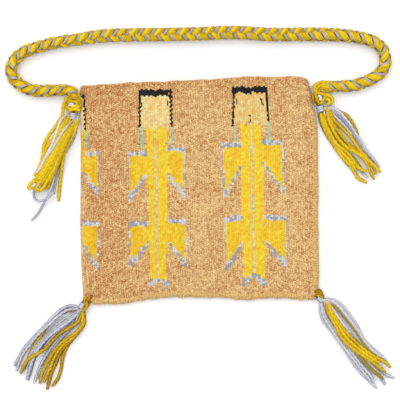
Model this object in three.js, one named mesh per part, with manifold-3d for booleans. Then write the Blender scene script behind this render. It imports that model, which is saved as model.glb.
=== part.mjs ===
// A flat woven wool pouch, lying on its back as on a table. One tapestry cloth is folded round at the
// left, sewn up at the right and along the bottom, and open at the top. Its figures are fields of
// coloured weft, each woven in beside the tan ground. A braided strap ends in a knot and a tassel at
// each top corner, and a tassel is tied to each bottom corner.
//
// Millimetres. +X is to the right of the front, +Y towards the mouth and +Z out of the front. The
// origin is in the middle of the cloth, on the face that it lies on.

import * as THREE from "three";
import { mergeVertices } from "three/addons/utils/BufferGeometryUtils.js";
import Module from "manifold-3d";

const wasm = await Module();
wasm.setup();

// The folded cloth
const CLOTH_WIDTH = 234.7;
const CLOTH_HEIGHT = 213.5;
const CLOTH_THICKNESS = 3;
const TOP_RISE = 9; // the mouth slopes up by this from left to right
const TOP_BOW = 1;
const BOTTOM_DIP = 5.3; // the bottom hangs lower at the left
const RIGHT_TAPER = 4; // the right side leans in towards the mouth
const TOP_CORNER_IN = 7; // the rounded corners on the right
const BOTTOM_CORNER_IN = 2.5;
const LEFT_IN = 2.5; // the left side draws in at the bottom

// The pocket between the two layers
const POCKET_PUFF = 7;
const FOLD_GAP = 0.6; // the layers stay this far apart at the fold
const SIDE_ALLOWANCE = 6; // cloth taken up by the side seam
const BOTTOM_ALLOWANCE = 6;

// The weave
const WARP_PITCH = 3.9;
const RIB_DEPTH = 0.45;
const FIELD_DEPTH = 1.3; // how deep a coloured field goes into the front layer
const GAP = 0.3; // between pieces that touch

// One woven figure, measured across from its middle line and down from the mouth
const HEAD_HALF = 14.5;
const HEAD_TOP = 9;
const HAIR_HEIGHT = 5.5;
const HEAD_LINE = 2.3;
const HEAD_END = 45;
const NECK_LINE_LENGTH = 17;
const TRUNK_HALF = 10;
const TRUNK_END = 203;
const TRUNK_NOTCH = 9;
const MIDDLE_LINE = 1.5;
const WING_HALF = 28;
const WING_LINE = 1.5;
const WING_BAR = 4.5;
const WING_ROOT = 18.5; // height of a wing where it leaves the trunk
const WING_TIP = 41; // and along its outer edge
const WING_EDGE = 3;
const UPPER_WING = 65.5;
const LOWER_WING = 138;

// Where the figures stand: the middle line's distance from the fold, its lean for each mm down, and how
// wide and long the figure and how wide its trunk came out on the loom. The third goes round the fold,
// and shows a little of its head.
const HEAD_SHOWS = 4;
const FIGURES = [
  { name: "right_figure", fromFold: 0.724 * CLOTH_WIDTH, lean: 0.018, wide: 1.08, long: 1, trunk: 1 },
  { name: "middle_figure", fromFold: 0.322 * CLOTH_WIDTH, lean: 0.009, wide: 1, long: 0.985, trunk: 1 },
  { name: "folded_figure", fromFold: HEAD_SHOWS - HEAD_HALF, lean: 0, wide: 1, long: 0.985, trunk: 1.48 },
];

// The sewing along the two joined edges
const SEAM_DIAMETER = 2;
const SEAM_STEPS = 18;

// The strap, a round braid, and the yarn
const STRAP_DIAMETER = 12.5;
const STRAP_SIDES = 8;
const STRAP_STEPS = 44;
const YARN_DIAMETER = 4;
const YARN_SIDES = 6;
const YARN_STEPS = 6;

// A tassel's bound neck, and the knots over the two top ones
const NECK_DIAMETER = 9.5;
const NECK_LENGTH = 5;
const NECK_TURNS = 3;
const KNOT_DIAMETER = 12.6;
const KNOT_HEIGHT = 11;
const LEFT_KNOT_DROP = 21; // from the mouth down to the middle of each knot
const RIGHT_KNOT_DROP = 22;
const TIE_DIAMETER = 3.6; // the yarn that ties a bottom tassel through its corner
const TIE_INSIDE = 5;

// The two bottom corners: where the tie goes into the cloth, how far it reaches out and at what angle
const TIES = [
  { name: "bottom_left", across: 0.02, up: 0, reach: 5, degrees: -128 },
  { name: "bottom_right", across: 0.985, up: 0.02, reach: 9, degrees: -40 },
];

const COLOURS = {
  tan_wool: 0xc99a62,
  yellow_wool: 0xf0c02a,
  cream_wool: 0xe6cf8c,
  black_wool: 0x2a2722,
  grey_wool: 0xb4b6bf,
  green_wool: 0x8fb39a,
};

// The middle of the strap, as it lies on the table: out from the left knot, over the top and back
// down to the right knot
const STRAP_ROUTE = [
  [-122.9, 88.7], [-123.2, 93.6], [-128.3, 97.3], [-135.8, 97.4], [-144.8, 96.6],
  [-156.8, 95.6], [-169.2, 97.4], [-177.5, 102.2], [-183.4, 108.4], [-187.2, 115.7],
  [-186, 123.4], [-179.3, 130.4], [-169.2, 136.6], [-156.8, 141.2], [-145.2, 143.9],
  [-121.9, 146.6], [-97, 149.6], [-66.5, 151.8], [-30.9, 153], [1.1, 153.2], [37.1, 153],
  [72.5, 151.8], [108.2, 151.3], [143.8, 150.4], [160.2, 148.8], [173, 145.6], [182.3, 139.4],
  [187.8, 130.8], [188.6, 121.8], [184.6, 113.8], [177.2, 107.6], [167.7, 103.2], [156.2, 100.5],
  [143.8, 100.1], [135.2, 99.6], [126.4, 99.6], [121.9, 97.9],
];

// Each tassel's yarns, by how far the end lies from the root across and up the page, and how far the
// yarn bows out to its left on the way. The yellow yarns lie over the grey ones near the neck, and
// come down to the table past them where they land.
const TASSELS = {
  top_left: {
    lands: true,
    yellow: [[-33, -43, -5], [-44, -68, -6], [-38, -71, -5], [-32, -74, -3]],
    grey: [[-26, -72, 2], [-20, -66, 4], [-14, -84, 5]],
  },
  top_right: {
    lands: true,
    yellow: [[42, -72, -7], [49, -68, -5], [55, -62, -3]],
    grey: [[60, -52, 5], [61, -44, 8], [35, -19, 4]],
  },
  bottom_left: {
    lands: true,
    yellow: [[-21, -62, 5], [-30, -73, 5], [-36, -79, 3]],
    grey: [[-64, -52, -9], [-60, -60, -6], [-52, -68, -4], [-46, -74, -1]],
  },
  bottom_right: {
    lands: false,
    yellow: [[58, -72, -5], [66, -67, -2]],
    grey: [[48, -82, -12], [54, -78, -8], [62, -70, 3], [68, -66, 9]],
  },
};

const lerp = (a, b, t) => a + (b - a) * t;
const smooth = (t) => THREE.MathUtils.smoothstep(t, 0, 1);

// A closed geometry as a solid, and back
function solidOf(geometry) {
  const bare = geometry.index ? geometry.toNonIndexed() : geometry.clone();
  bare.deleteAttribute("normal");
  bare.deleteAttribute("uv");
  const merged = mergeVertices(bare, 1e-3);
  return new wasm.Manifold(
    new wasm.Mesh({
      numProp: 3,
      vertProperties: merged.attributes.position.array,
      triVerts: new Uint32Array(merged.index.array),
    }),
  );
}

function geometryOf(solid) {
  const mesh = solid.getMesh();
  const places = [];
  for (let i = 0; i < mesh.numVert; i++) {
    places.push(...mesh.vertProperties.subarray(i * mesh.numProp, i * mesh.numProp + 3));
  }
  const geometry = new THREE.BufferGeometry();
  geometry.setAttribute("position", new THREE.Float32BufferAttribute(places, 3));
  geometry.setIndex(new THREE.BufferAttribute(new Uint32Array(mesh.triVerts), 1));
  geometry.computeVertexNormals();
  return geometry;
}

// Faces over a ring whose lower and upper sides each run once from left to right, as triangles that
// join the two sides in order of x
function endFaces(ring) {
  const xs = ring.map(([x]) => x);
  const [start, end] = [xs.indexOf(Math.min(...xs)), xs.indexOf(Math.max(...xs))];
  const walk = (step) => {
    const chain = [start];
    while (chain.at(-1) !== end) {
      chain.push((chain.at(-1) + step + ring.length) % ring.length);
    }
    return chain;
  };
  const [lower, upper] = [walk(1), walk(-1)];
  const faces = [];
  let [i, j] = [0, 0];
  while (i + 1 < lower.length || j + 1 < upper.length) {
    const lowerNext = i + 1 < lower.length ? xs[lower[i + 1]] : Infinity;
    const upperNext = j + 1 < upper.length ? xs[upper[j + 1]] : Infinity;
    const third = lowerNext <= upperNext ? lower[i + 1] : upper[j + 1];
    faces.push([lower[i], third, upper[j]]);
    if (lowerNext <= upperNext) i++;
    else j++;
  }
  return faces.filter((corners) => new Set(corners).size === 3);
}

// A skin over rings that stand one in front of another, closed at both ends. Every ring has as many
// points, and goes round anticlockwise when it is seen from in front.
function loft(rings) {
  const count = rings[0].length;
  const faces = [];
  for (let j = 0; j + 1 < rings.length; j++) {
    for (let i = 0; i < count; i++) {
      const next = (i + 1) % count;
      const [a, b, c, d] = [j * count + i, j * count + next, (j + 1) * count + next, (j + 1) * count + i];
      faces.push(a, d, c, a, c, b);
    }
  }
  for (const [a, b, c] of endFaces(rings[0])) {
    faces.push(a, b, c);
  }
  const last = (rings.length - 1) * count;
  for (const [a, b, c] of endFaces(rings.at(-1))) {
    faces.push(last + a, last + c, last + b);
  }
  const geometry = new THREE.BufferGeometry();
  geometry.setAttribute("position", new THREE.Float32BufferAttribute(rings.flat(2), 3));
  geometry.setIndex(faces);
  return geometry;
}

// The cloth's outline: across is 0 at the fold and 1 at the side seam, and up is 0 at the bottom and 1
// at the mouth
const leftEdge = (up) => -CLOTH_WIDTH / 2 + LEFT_IN * (1 - up) ** 12;
const rightEdge = (up) => CLOTH_WIDTH / 2 - RIGHT_TAPER * up ** 2;
const topEdge = (across) =>
  CLOTH_HEIGHT / 2 + TOP_RISE * (across - 0.5) + TOP_BOW * 4 * across * (1 - across);
const bottomEdge = (across) => -CLOTH_HEIGHT / 2 - BOTTOM_DIP * smooth((0.42 - across) / 0.26);
const cornerRound = (across, up) =>
  Math.max(across, 0) ** 24 * (TOP_CORNER_IN * Math.max(up, 0) ** 16 + BOTTOM_CORNER_IN * (1 - up) ** 16);

function onCloth(across, up) {
  const inwards = cornerRound(across, up);
  return [
    lerp(leftEdge(up), rightEdge(up), across) - inwards,
    lerp(bottomEdge(across), topEdge(across), up) - inwards / 2,
  ];
}

// The outside of the front layer, without its ribs
function frontHeight(across, up) {
  const side = 1 - Math.abs(2 * across - 1) ** 6;
  const rise = 1 - (1 - THREE.MathUtils.clamp(up, 0, 1)) ** 6;
  return 2 * CLOTH_THICKNESS + FOLD_GAP + (POCKET_PUFF - FOLD_GAP) * side * rise;
}

// One row of the front layer from its left to its right, over as many columns as are asked for. With
// two columns to a rib, every other point is in the valley between two ribs.
const RIBS = Math.round(CLOTH_WIDTH / WARP_PITCH);
const PLAIN_COLUMNS = 14;
const CLOTH_ROWS = [0, 0.04, 0.12, 0.25, 0.5, 1];

function frontRow(up, height, columns) {
  const margin = CLOTH_THICKNESS / CLOTH_WIDTH;
  return Array.from({ length: columns + 1 }, (_, i) => {
    const across = lerp(margin, 1 - margin, i / columns);
    const valley = columns === 2 * RIBS && i % 2 === 0 ? RIB_DEPTH : 0;
    return [...onCloth(across, up), height(across, up) - valley];
  });
}

// What lies in the front layer between two heights, with as many columns on top as are asked for
function layer(low, high, columns) {
  const rows = CLOTH_ROWS.map((up) => [
    ...frontRow(up, low, PLAIN_COLUMNS),
    ...frontRow(up, high, columns).reverse(),
  ]);
  return solidOf(loft(rows));
}

// The whole outside of the folded cloth
function outside() {
  const bend = [-50, 0, 50].map((a) => THREE.MathUtils.degToRad(a));
  const floor = Array.from({ length: PLAIN_COLUMNS + 1 }, (_, i) => lerp(0.02, 0.98, i / PLAIN_COLUMNS));
  const rows = CLOTH_ROWS.map((up) => {
    const half = frontHeight(0, up) / 2;
    const round = (across, sign, turn) => {
      const [x, y] = onCloth(across, up);
      return [x - sign * half * (1 - Math.cos(turn)), y, half + half * Math.sin(turn)];
    };
    return [
      ...floor.map((across) => [...onCloth(across, up), 0]),
      ...bend.map((turn) => round(1, 1, turn)),
      ...frontRow(up, frontHeight, 2 * RIBS).reverse(),
      ...bend.map((turn) => round(0, -1, -turn)),
    ];
  });
  return solidOf(loft(rows));
}

// The pocket, from over the bottom seam out through the mouth
function pocket() {
  const bottom = BOTTOM_ALLOWANCE / CLOTH_HEIGHT;
  const left = CLOTH_THICKNESS / CLOTH_WIDTH;
  const right = 1 - SIDE_ALLOWANCE / CLOTH_WIDTH;
  const rows = [bottom, ...CLOTH_ROWS.filter((up) => up > bottom && up < 1), 1.02].map((up) => {
    const roof = Array.from({ length: PLAIN_COLUMNS + 1 }, (_, i) => {
      const across = lerp(right, left, i / PLAIN_COLUMNS);
      return [...onCloth(across, up), frontHeight(across, up) - CLOTH_THICKNESS];
    });
    const floor = [left, (left + right) / 2, right].map((across) => [
      ...onCloth(across, up),
      CLOTH_THICKNESS,
    ]);
    return [...floor, ...roof];
  });
  return solidOf(loft(rows));
}

// An outline with every edge moved in by a distance, or out if it is negative
function inset(points, distance) {
  const edges = points.map((p, i) => {
    const q = points[(i + 1) % points.length];
    const length = Math.hypot(q[0] - p[0], q[1] - p[1]);
    const along = [(q[0] - p[0]) / length, (q[1] - p[1]) / length];
    return { along, through: [p[0] - along[1] * distance, p[1] + along[0] * distance] };
  });
  return points.map((_, i) => {
    const before = edges[(i + points.length - 1) % points.length];
    const after = edges[i];
    const cross = before.along[0] * after.along[1] - before.along[1] * after.along[0];
    if (Math.abs(cross) < 1e-6) return after.through;
    const between = [after.through[0] - before.through[0], after.through[1] - before.through[1]];
    const t = (between[0] * after.along[1] - between[1] * after.along[0]) / cross;
    return [before.through[0] + before.along[0] * t, before.through[1] + before.along[1] * t];
  });
}

// An outline carried up through the whole cloth
function prism(points) {
  return new wasm.CrossSection([points]).extrude(4 * (CLOTH_THICKNESS + POCKET_PUFF));
}

// A figure's fields, each as an outline across from its middle line and down from the mouth. A side of
// 1 is the figure's right and -1 its left.
function wing(side, root, top) {
  const [tip, outer] = [WING_HALF, WING_HALF + WING_LINE];
  const under = top + WING_BAR;
  return [
    [root, top],
    [outer, top],
    [outer, under + WING_TIP + WING_EDGE],
    [root, under + WING_ROOT + WING_EDGE],
    [root, under + WING_ROOT],
    [tip, under + WING_TIP],
    [tip, under],
    [root, under],
  ].map(([x, y]) => [side * x, y]);
}

function halfBody(side, trunk) {
  const wingPoints = (top) => [
    [trunk, top + WING_BAR],
    [WING_HALF, top + WING_BAR],
    [WING_HALF, top + WING_BAR + WING_TIP],
    [trunk, top + WING_BAR + WING_ROOT],
  ];
  return [
    [MIDDLE_LINE / 2, HEAD_END],
    [trunk, HEAD_END],
    ...wingPoints(UPPER_WING),
    ...wingPoints(LOWER_WING),
    [trunk, TRUNK_END],
    [MIDDLE_LINE / 2, TRUNK_END - TRUNK_NOTCH],
  ].map(([x, y]) => [side * x, y]);
}

function middleLine(trunk) {
  const half = MIDDLE_LINE / 2;
  const notch = TRUNK_END - TRUNK_NOTCH;
  return [
    [-half, HEAD_END],
    [half, HEAD_END],
    [half, notch],
    [trunk, TRUNK_END],
    [trunk, TRUNK_END + WING_EDGE],
    [0, notch + WING_EDGE + 1],
    [-trunk, TRUNK_END + WING_EDGE],
    [-trunk, TRUNK_END],
    [-half, notch],
  ];
}

function headOutline() {
  const [inner, outer] = [HEAD_HALF, HEAD_HALF + HEAD_LINE];
  const under = HEAD_TOP + HAIR_HEIGHT;
  return [
    [-outer, HEAD_TOP],
    [outer, HEAD_TOP],
    [outer, HEAD_END],
    [inner, HEAD_END],
    [inner, under],
    [-inner, under],
    [-inner, HEAD_END],
    [-outer, HEAD_END],
  ];
}

const box = (x0, x1, y0, y1) => [[x0, y0], [x1, y0], [x1, y1], [x0, y1]];

function figureFields(trunk) {
  const neck = (side) =>
    box(side * HEAD_HALF, side * (HEAD_HALF + HEAD_LINE), HEAD_END, HEAD_END + NECK_LINE_LENGTH);
  return [
    ["head", "cream_wool", box(-HEAD_HALF, HEAD_HALF, HEAD_TOP + HAIR_HEIGHT, HEAD_END)],
    ["head_outline", "black_wool", headOutline()],
    ["middle_line", "grey_wool", middleLine(trunk)],
    ...[[1, "right"], [-1, "left"]].flatMap(([side, word]) => [
      [`${word}_neck_line`, "green_wool", neck(side)],
      [`${word}_body`, "yellow_wool", halfBody(side, trunk)],
      [`${word}_upper_wing_line`, "grey_wool", wing(side, trunk, UPPER_WING)],
      [`${word}_lower_wing_line`, "grey_wool", wing(side, trunk, LOWER_WING)],
    ]),
  ];
}

// The outline laid on the cloth, anticlockwise, with what would pass the fold left out
function laidOut(outline, figure) {
  const placed = outline.map(([x, down]) => {
    const fromFold = figure.fromFold + x * figure.wide + down * figure.lean;
    const across = fromFold / CLOTH_WIDTH;
    return [-CLOTH_WIDTH / 2 + fromFold, topEdge(across) - down * figure.long];
  });
  return THREE.ShapeUtils.area(placed.map(([x, y]) => ({ x, y }))) < 0 ? placed.reverse() : placed;
}

const group = new THREE.Group();

function add(name, colour, geometry, place = [0, 0, 0], turn = 0) {
  const material = new THREE.MeshStandardMaterial({
    color: COLOURS[colour],
    roughness: 0.95,
    metalness: 0,
  });
  const mesh = new THREE.Mesh(geometry, material);
  mesh.name = name;
  mesh.position.set(...place);
  mesh.rotation.z = turn;
  group.add(mesh);
}

// A round length of yarn or cord through the points
function tube(points, diameter, sides, steps) {
  const path = new THREE.CatmullRomCurve3(points.map((p) => new THREE.Vector3(...p)), false, "centripetal");
  const section = new THREE.Shape(
    Array.from({ length: sides }, (_, i) => {
      const angle = ((i + 0.5) / sides) * 2 * Math.PI;
      return new THREE.Vector2(Math.cos(angle), Math.sin(angle)).multiplyScalar(diameter / 2);
    }),
  );
  return new THREE.ExtrudeGeometry(section, { steps, extrudePath: path, bevelEnabled: false });
}

// A point on the line of a tie, by its distance out of the cloth
function tiePoint({ across, up, degrees }, run) {
  const [x, y] = onCloth(across, up);
  const angle = THREE.MathUtils.degToRad(degrees);
  return [x + Math.cos(angle) * run, y + Math.sin(angle) * run, frontHeight(0, 0) / 2];
}

// The tan cloth, with a recess for each coloured field and a hole for each tie
function makeCloth() {
  const fieldFloor = (across, up) => frontHeight(across, up) - FIELD_DEPTH;
  const fields = layer(fieldFloor, frontHeight, 2 * RIBS);
  const recess = layer((a, u) => fieldFloor(a, u) - GAP, () => 4 * POCKET_PUFF, 1);
  let cloth = outside().subtract(pocket());
  for (const figure of FIGURES) {
    for (const [part, colour, outline] of figureFields(figure.trunk * TRUNK_HALF)) {
      const placed = laidOut(outline, figure);
      const field = prism(inset(placed, GAP / 2)).intersect(fields);
      if (field.volume() < 1) continue;
      add(`${figure.name}_${part}`, colour, geometryOf(field));
      cloth = cloth.subtract(prism(inset(placed, -GAP / 2)).intersect(recess));
    }
  }
  for (const tie of TIES) {
    const line = [tiePoint(tie, -TIE_INSIDE - GAP), tiePoint(tie, tie.reach)];
    cloth = cloth.subtract(solidOf(tube(line, TIE_DIAMETER + 2 * GAP, YARN_SIDES, 1)));
  }
  add("cloth", "tan_wool", geometryOf(cloth));
}

// The sewing along the outside of each joined edge. The side seam stops under the knot's neck.
function makeSeams() {
  const out = SEAM_DIAMETER / 2 + GAP;
  const height = frontHeight(1, 0) / 2;
  const knotEnd = 1 - (RIGHT_KNOT_DROP + KNOT_DIAMETER / 2 + NECK_LENGTH + YARN_DIAMETER) / CLOTH_HEIGHT;
  const side = Array.from({ length: SEAM_STEPS + 1 }, (_, i) => {
    const [x, y] = onCloth(1, lerp(0.03, knotEnd, i / SEAM_STEPS));
    return [x + out, y, height];
  });
  add("side_seam", "tan_wool", tube(side, SEAM_DIAMETER, YARN_SIDES, SEAM_STEPS));
  const bottom = Array.from({ length: SEAM_STEPS + 1 }, (_, i) => {
    const [x, y] = onCloth(lerp(0.05, 0.97, i / SEAM_STEPS), 0);
    return [x, y - out, height];
  });
  add("bottom_seam", "tan_wool", tube(bottom, SEAM_DIAMETER, YARN_SIDES, SEAM_STEPS));
}

// A neck bound round with yarn, its axis along X
function neck() {
  const profile = [new THREE.Vector2(0, -NECK_LENGTH / 2)];
  for (let i = 0; i <= 2 * NECK_TURNS; i++) {
    const dip = i % 2 === 0 ? 0.86 : 1;
    const along = i / (2 * NECK_TURNS) - 0.5;
    profile.push(new THREE.Vector2((dip * NECK_DIAMETER) / 2, along * NECK_LENGTH));
  }
  profile.push(new THREE.Vector2(0, NECK_LENGTH / 2));
  return new THREE.LatheGeometry(profile, 10).rotateZ(-Math.PI / 2);
}

// Yarns that leave a neck side by side and then spread, each starting at the first height and ending
// at the last
function lock(yarns, root, heading, heights) {
  const solids = yarns.map(([x, y, bow]) => {
    const reach = Math.hypot(x, y);
    const spread = heights.map((height, i) => {
      const t = lerp(0.12, 1, i / (heights.length - 1));
      const side = 4 * t * (1 - t) * bow;
      return [root[0] + x * t - (y / reach) * side, root[1] + y * t + (x / reach) * side, height];
    });
    const straight = [0, YARN_DIAMETER].map((run) => [
      root[0] + Math.cos(heading) * run,
      root[1] + Math.sin(heading) * run,
      heights[0],
    ]);
    return solidOf(tube([...straight, ...spread], YARN_DIAMETER, YARN_SIDES, YARN_STEPS));
  });
  return geometryOf(solids.reduce((whole, yarn) => whole.add(yarn)));
}

// A tassel heading along an angle from the point that its neck starts at: the neck and two locks
function makeTassel(name, start, heading) {
  const onwards = (distance) => [
    start[0] + Math.cos(heading) * distance,
    start[1] + Math.sin(heading) * distance,
  ];
  const middle = [...onwards(NECK_LENGTH / 2), NECK_DIAMETER / 2];
  add(`${name}_tassel_neck`, "grey_wool", neck(), middle, heading);
  const root = onwards(NECK_LENGTH + GAP);
  const table = YARN_DIAMETER / 2;
  const above = table + YARN_DIAMETER * Math.cos(Math.PI / YARN_SIDES) + GAP;
  const { yellow, grey, lands } = TASSELS[name];
  const last = lands ? table : above;
  const descent = [above, above, lerp(above, last, 0.6), last];
  add(`${name}_grey_yarns`, "grey_wool", lock(grey, root, heading, [table, table, table, table]));
  add(`${name}_yellow_yarns`, "yellow_wool", lock(yellow, root, heading, descent));
}

// The strap and the knot and tassel at each of its ends
function makeStrap() {
  const route = STRAP_ROUTE.map(([x, y]) => [x, y, STRAP_DIAMETER / 2]);
  add("strap", "yellow_wool", tube(route, STRAP_DIAMETER, STRAP_SIDES, STRAP_STEPS));
  const knot = new THREE.SphereGeometry(KNOT_DIAMETER / 2, 12, 8);
  knot.scale(1, 1, KNOT_HEIGHT / KNOT_DIAMETER);
  const ends = [
    ["top_left", 0, LEFT_KNOT_DROP, -1, THREE.MathUtils.degToRad(-98)],
    ["top_right", 1, RIGHT_KNOT_DROP, 1, THREE.MathUtils.degToRad(-75)],
  ];
  for (const [name, across, drop, side, heading] of ends) {
    const [edge, y] = onCloth(across, 1 - drop / CLOTH_HEIGHT);
    const reach = KNOT_DIAMETER / 2 + GAP;
    const x = edge + side * reach;
    add(`${name}_knot`, "yellow_wool", knot.clone(), [x, y, KNOT_HEIGHT / 2]);
    makeTassel(name, [x + Math.cos(heading) * reach, y + Math.sin(heading) * reach], heading);
  }
}

// The tassels at the bottom corners, each on a tie that goes into the cloth
function makeBottomTassels() {
  for (const tie of TIES) {
    const line = [tiePoint(tie, -TIE_INSIDE), tiePoint(tie, tie.reach)];
    add(`${tie.name}_tie`, "yellow_wool", tube(line, TIE_DIAMETER, YARN_SIDES, 1));
    makeTassel(tie.name, tiePoint(tie, tie.reach + GAP), THREE.MathUtils.degToRad(tie.degrees));
  }
}

makeCloth();
makeSeams();
makeStrap();
makeBottomTassels();

export default group;
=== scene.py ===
import math

import bpy
import numpy as np
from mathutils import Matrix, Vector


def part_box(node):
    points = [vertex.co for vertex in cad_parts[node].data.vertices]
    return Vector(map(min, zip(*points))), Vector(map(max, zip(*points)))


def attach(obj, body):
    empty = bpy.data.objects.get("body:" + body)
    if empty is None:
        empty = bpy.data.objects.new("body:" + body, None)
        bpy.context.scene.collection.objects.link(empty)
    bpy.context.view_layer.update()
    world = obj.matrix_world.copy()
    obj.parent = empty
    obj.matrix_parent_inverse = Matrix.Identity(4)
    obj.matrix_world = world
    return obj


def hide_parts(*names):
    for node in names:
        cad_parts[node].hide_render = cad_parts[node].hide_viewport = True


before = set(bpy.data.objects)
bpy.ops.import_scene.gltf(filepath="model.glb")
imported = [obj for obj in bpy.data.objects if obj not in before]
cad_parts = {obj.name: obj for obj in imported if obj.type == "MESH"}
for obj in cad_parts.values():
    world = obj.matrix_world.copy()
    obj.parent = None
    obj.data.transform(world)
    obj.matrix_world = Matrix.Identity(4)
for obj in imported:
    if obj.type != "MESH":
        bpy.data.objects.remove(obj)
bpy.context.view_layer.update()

scene = bpy.context.scene
rng = np.random.default_rng(11)


# The pouch lies on a white table and is seen from straight above, through a long lens that shows
# 0.4 m of the table from side to side.
PICTURE_WIDTH = 0.400
PICTURE_CENTRE = (0.00165, -0.0118)
CAMERA_HEIGHT = 2.4
SENSOR_WIDTH = 36

lens = bpy.data.cameras.new("camera")
lens.sensor_width = SENSOR_WIDTH
lens.lens = SENSOR_WIDTH * CAMERA_HEIGHT / PICTURE_WIDTH
lens.clip_end = 50
camera = bpy.data.objects.new("camera", lens)
camera.location = (*PICTURE_CENTRE, CAMERA_HEIGHT)
scene.collection.objects.link(camera)
scene.camera = camera


# The strap is a round braid of four strands of hand-spun wool, each of them four golden yarns with two
# thin grey ones beside them. Two strands turn each way round the braid and pass over and under the
# others. It leaves the left knot, loops over the top and comes back to the right knot.
STRAP_ROUTE = [            # its middle on the table, in mm
    (-122.9, 88.7), (-123.2, 93.6), (-128.3, 97.6), (-135.8, 98), (-144.8, 97.5),
    (-156.8, 97), (-169.2, 98.7), (-177.8, 103.2), (-183.7, 109.1), (-186.6, 115.7),
    (-185.7, 123.7), (-179.7, 131.6), (-169.5, 137.8), (-156.8, 141.4), (-145.2, 144.6),
    (-121.9, 148), (-97, 151.6), (-66.5, 152.8), (-30.9, 153.2), (1.1, 154), (37.1, 155.2),
    (72.5, 153.2), (108.2, 153.4), (143.8, 152.4), (160.2, 150.2), (173.1, 146.6), (182.4, 140.1),
    (186, 131.1), (185.9, 122.4), (181.1, 114.6), (173.8, 109.5), (165, 105.6), (154.8, 102.4),
    (143.8, 101.8), (135.2, 101.3), (126.4, 100.6), (121.9, 98.4),
]
STRAP_HEIGHT = 0.0069      # the braid's axis over the table
STRAP_STEP = 0.0016        # from one point of a yarn to the next
STRAP_YARN = 0.0024
GREY_YARN = 0.0012
GOLDEN_YARNS = 4           # a strand's first yarns, with the grey ones after them
STRAND_PLACES = (-0.0046, -0.0026, -0.0005, 0.0015, 0.0034, 0.0047)    # of its yarns, along the braid
STRAND_HEIGHTS = (-0.0006, 0.0005, 0.0006, 0.0000, 0.0009, 0.0008)  # and how far out they lie
BRAID_PITCH = 0.0252       # one full turn of a strand
BRAID_MIDDLE = 0.0048      # how far the middle of a strand's path lies from the braid's axis
BRAID_WAVE = 0.0011        # and how far it moves out and in on its way over and under
BRAID_CROSSING = 1.8       # how sharply it goes from over to under
# The braid is drawn in near its knots and thinner round the two bends than in the middle.
FULL_PLACES = [0, 0.06, 0.28, 0.34, 0.72, 0.8, 0.95, 1]
FULLNESS = [0.65, 0.84, 0.84, 1, 1, 0.88, 0.85, 0.7]
# How far it is rolled over along its length, in half turns, and how far the one pair of strands lies
# over the other for longer.
ROLL_PLACES = [0.23, 0.36, 0.6, 0.68, 0.77]
ROLLS = [0.5, 0.7, 0.74, 0.8, 1]
FAVOUR_PLACES = [0.25, 0.36, 0.66, 0.77]
FAVOURS = [0.15, 0.0, 0.0, -0.4]
YELLOW, GREY = 0, 1
STRAP_TINTS = [(0.35, 0.65), (0.25, 0.2)]    # each colour's darkest tint and how far it varies
# Painted shade on a yarn, from 0 to 1, for the shade that falls between the yarns: in the braid at
# large, where it goes under, for each metre that it lies farther in than others, and if it is a grey one.
BRAID_PAINTED_SHADE, UNDER_PAINTED_SHADE, INNER_PAINTED_SHADE, GREY_PAINTED_SHADE = 0.25, 0.45, 300, 0.35
UNDERSIDE_PAINTED_SHADE = 0.5      # and how much more painted shade the sides and the underside of any yarn get
SHADE_START, SHADE_GROWTH = 0.88, 1.3    # how far up its side that starts, and how fast it grows
SPAN_POINTS = 24           # worked out on each span of a curve before it is cut into even steps


def run_along(path):
    """How far along a path each of its points lies."""
    return np.concatenate([[0], np.cumsum(np.linalg.norm(np.diff(path, axis=0), axis=1))])


def through(points, step):
    """Points at even steps along one smooth curve through the given points."""
    p = np.array(points, float)
    p = np.vstack([2 * p[0] - p[1], p, 2 * p[-1] - p[-2]])
    curve = []
    for a, b, c, d in zip(p, p[1:], p[2:], p[3:]):
        gaps = [np.linalg.norm(v) ** 0.5 + 1e-9 for v in (b - a, c - b, d - c)]
        ta, tb, tc, td = np.cumsum([0, *gaps])
        t = np.linspace(tb, tc, SPAN_POINTS, endpoint=False)[:, None]
        ab = ((tb - t) * a + (t - ta) * b) / (tb - ta)
        bc = ((tc - t) * b + (t - tb) * c) / (tc - tb)
        cd = ((td - t) * c + (t - tc) * d) / (td - tc)
        abc = ((tc - t) * ab + (t - ta) * bc) / (tc - ta)
        bcd = ((td - t) * bc + (t - tb) * cd) / (td - tb)
        curve.append(((tc - t) * abc + (t - tb) * bcd) / (tc - tb))
    curve = np.concatenate([*curve, p[-2:-1]])
    run = run_along(curve)
    places = np.linspace(0, run[-1], max(2, int(round(run[-1] / step)) + 1))
    return np.stack([np.interp(places, run, curve[:, k]) for k in range(3)], axis=1)


def unit(v):
    return v / np.linalg.norm(v, axis=-1, keepdims=True)


def section_frames(path):
    """Two directions across a path at each of its points, which don't spin about it."""
    tangents = unit(np.gradient(path, axis=0))
    start = np.array([0.0, 0.0, 1.0])
    if abs(tangents[0] @ start) > 0.9:
        start = np.array([0.0, 1.0, 0.0])
    across = [unit(start - tangents[0] * (tangents[0] @ start))]
    for tangent in tangents[1:]:
        across.append(unit(across[-1] - tangent * (tangent @ across[-1])))
    across = np.array(across)
    return across, np.cross(tangents, across)


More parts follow.
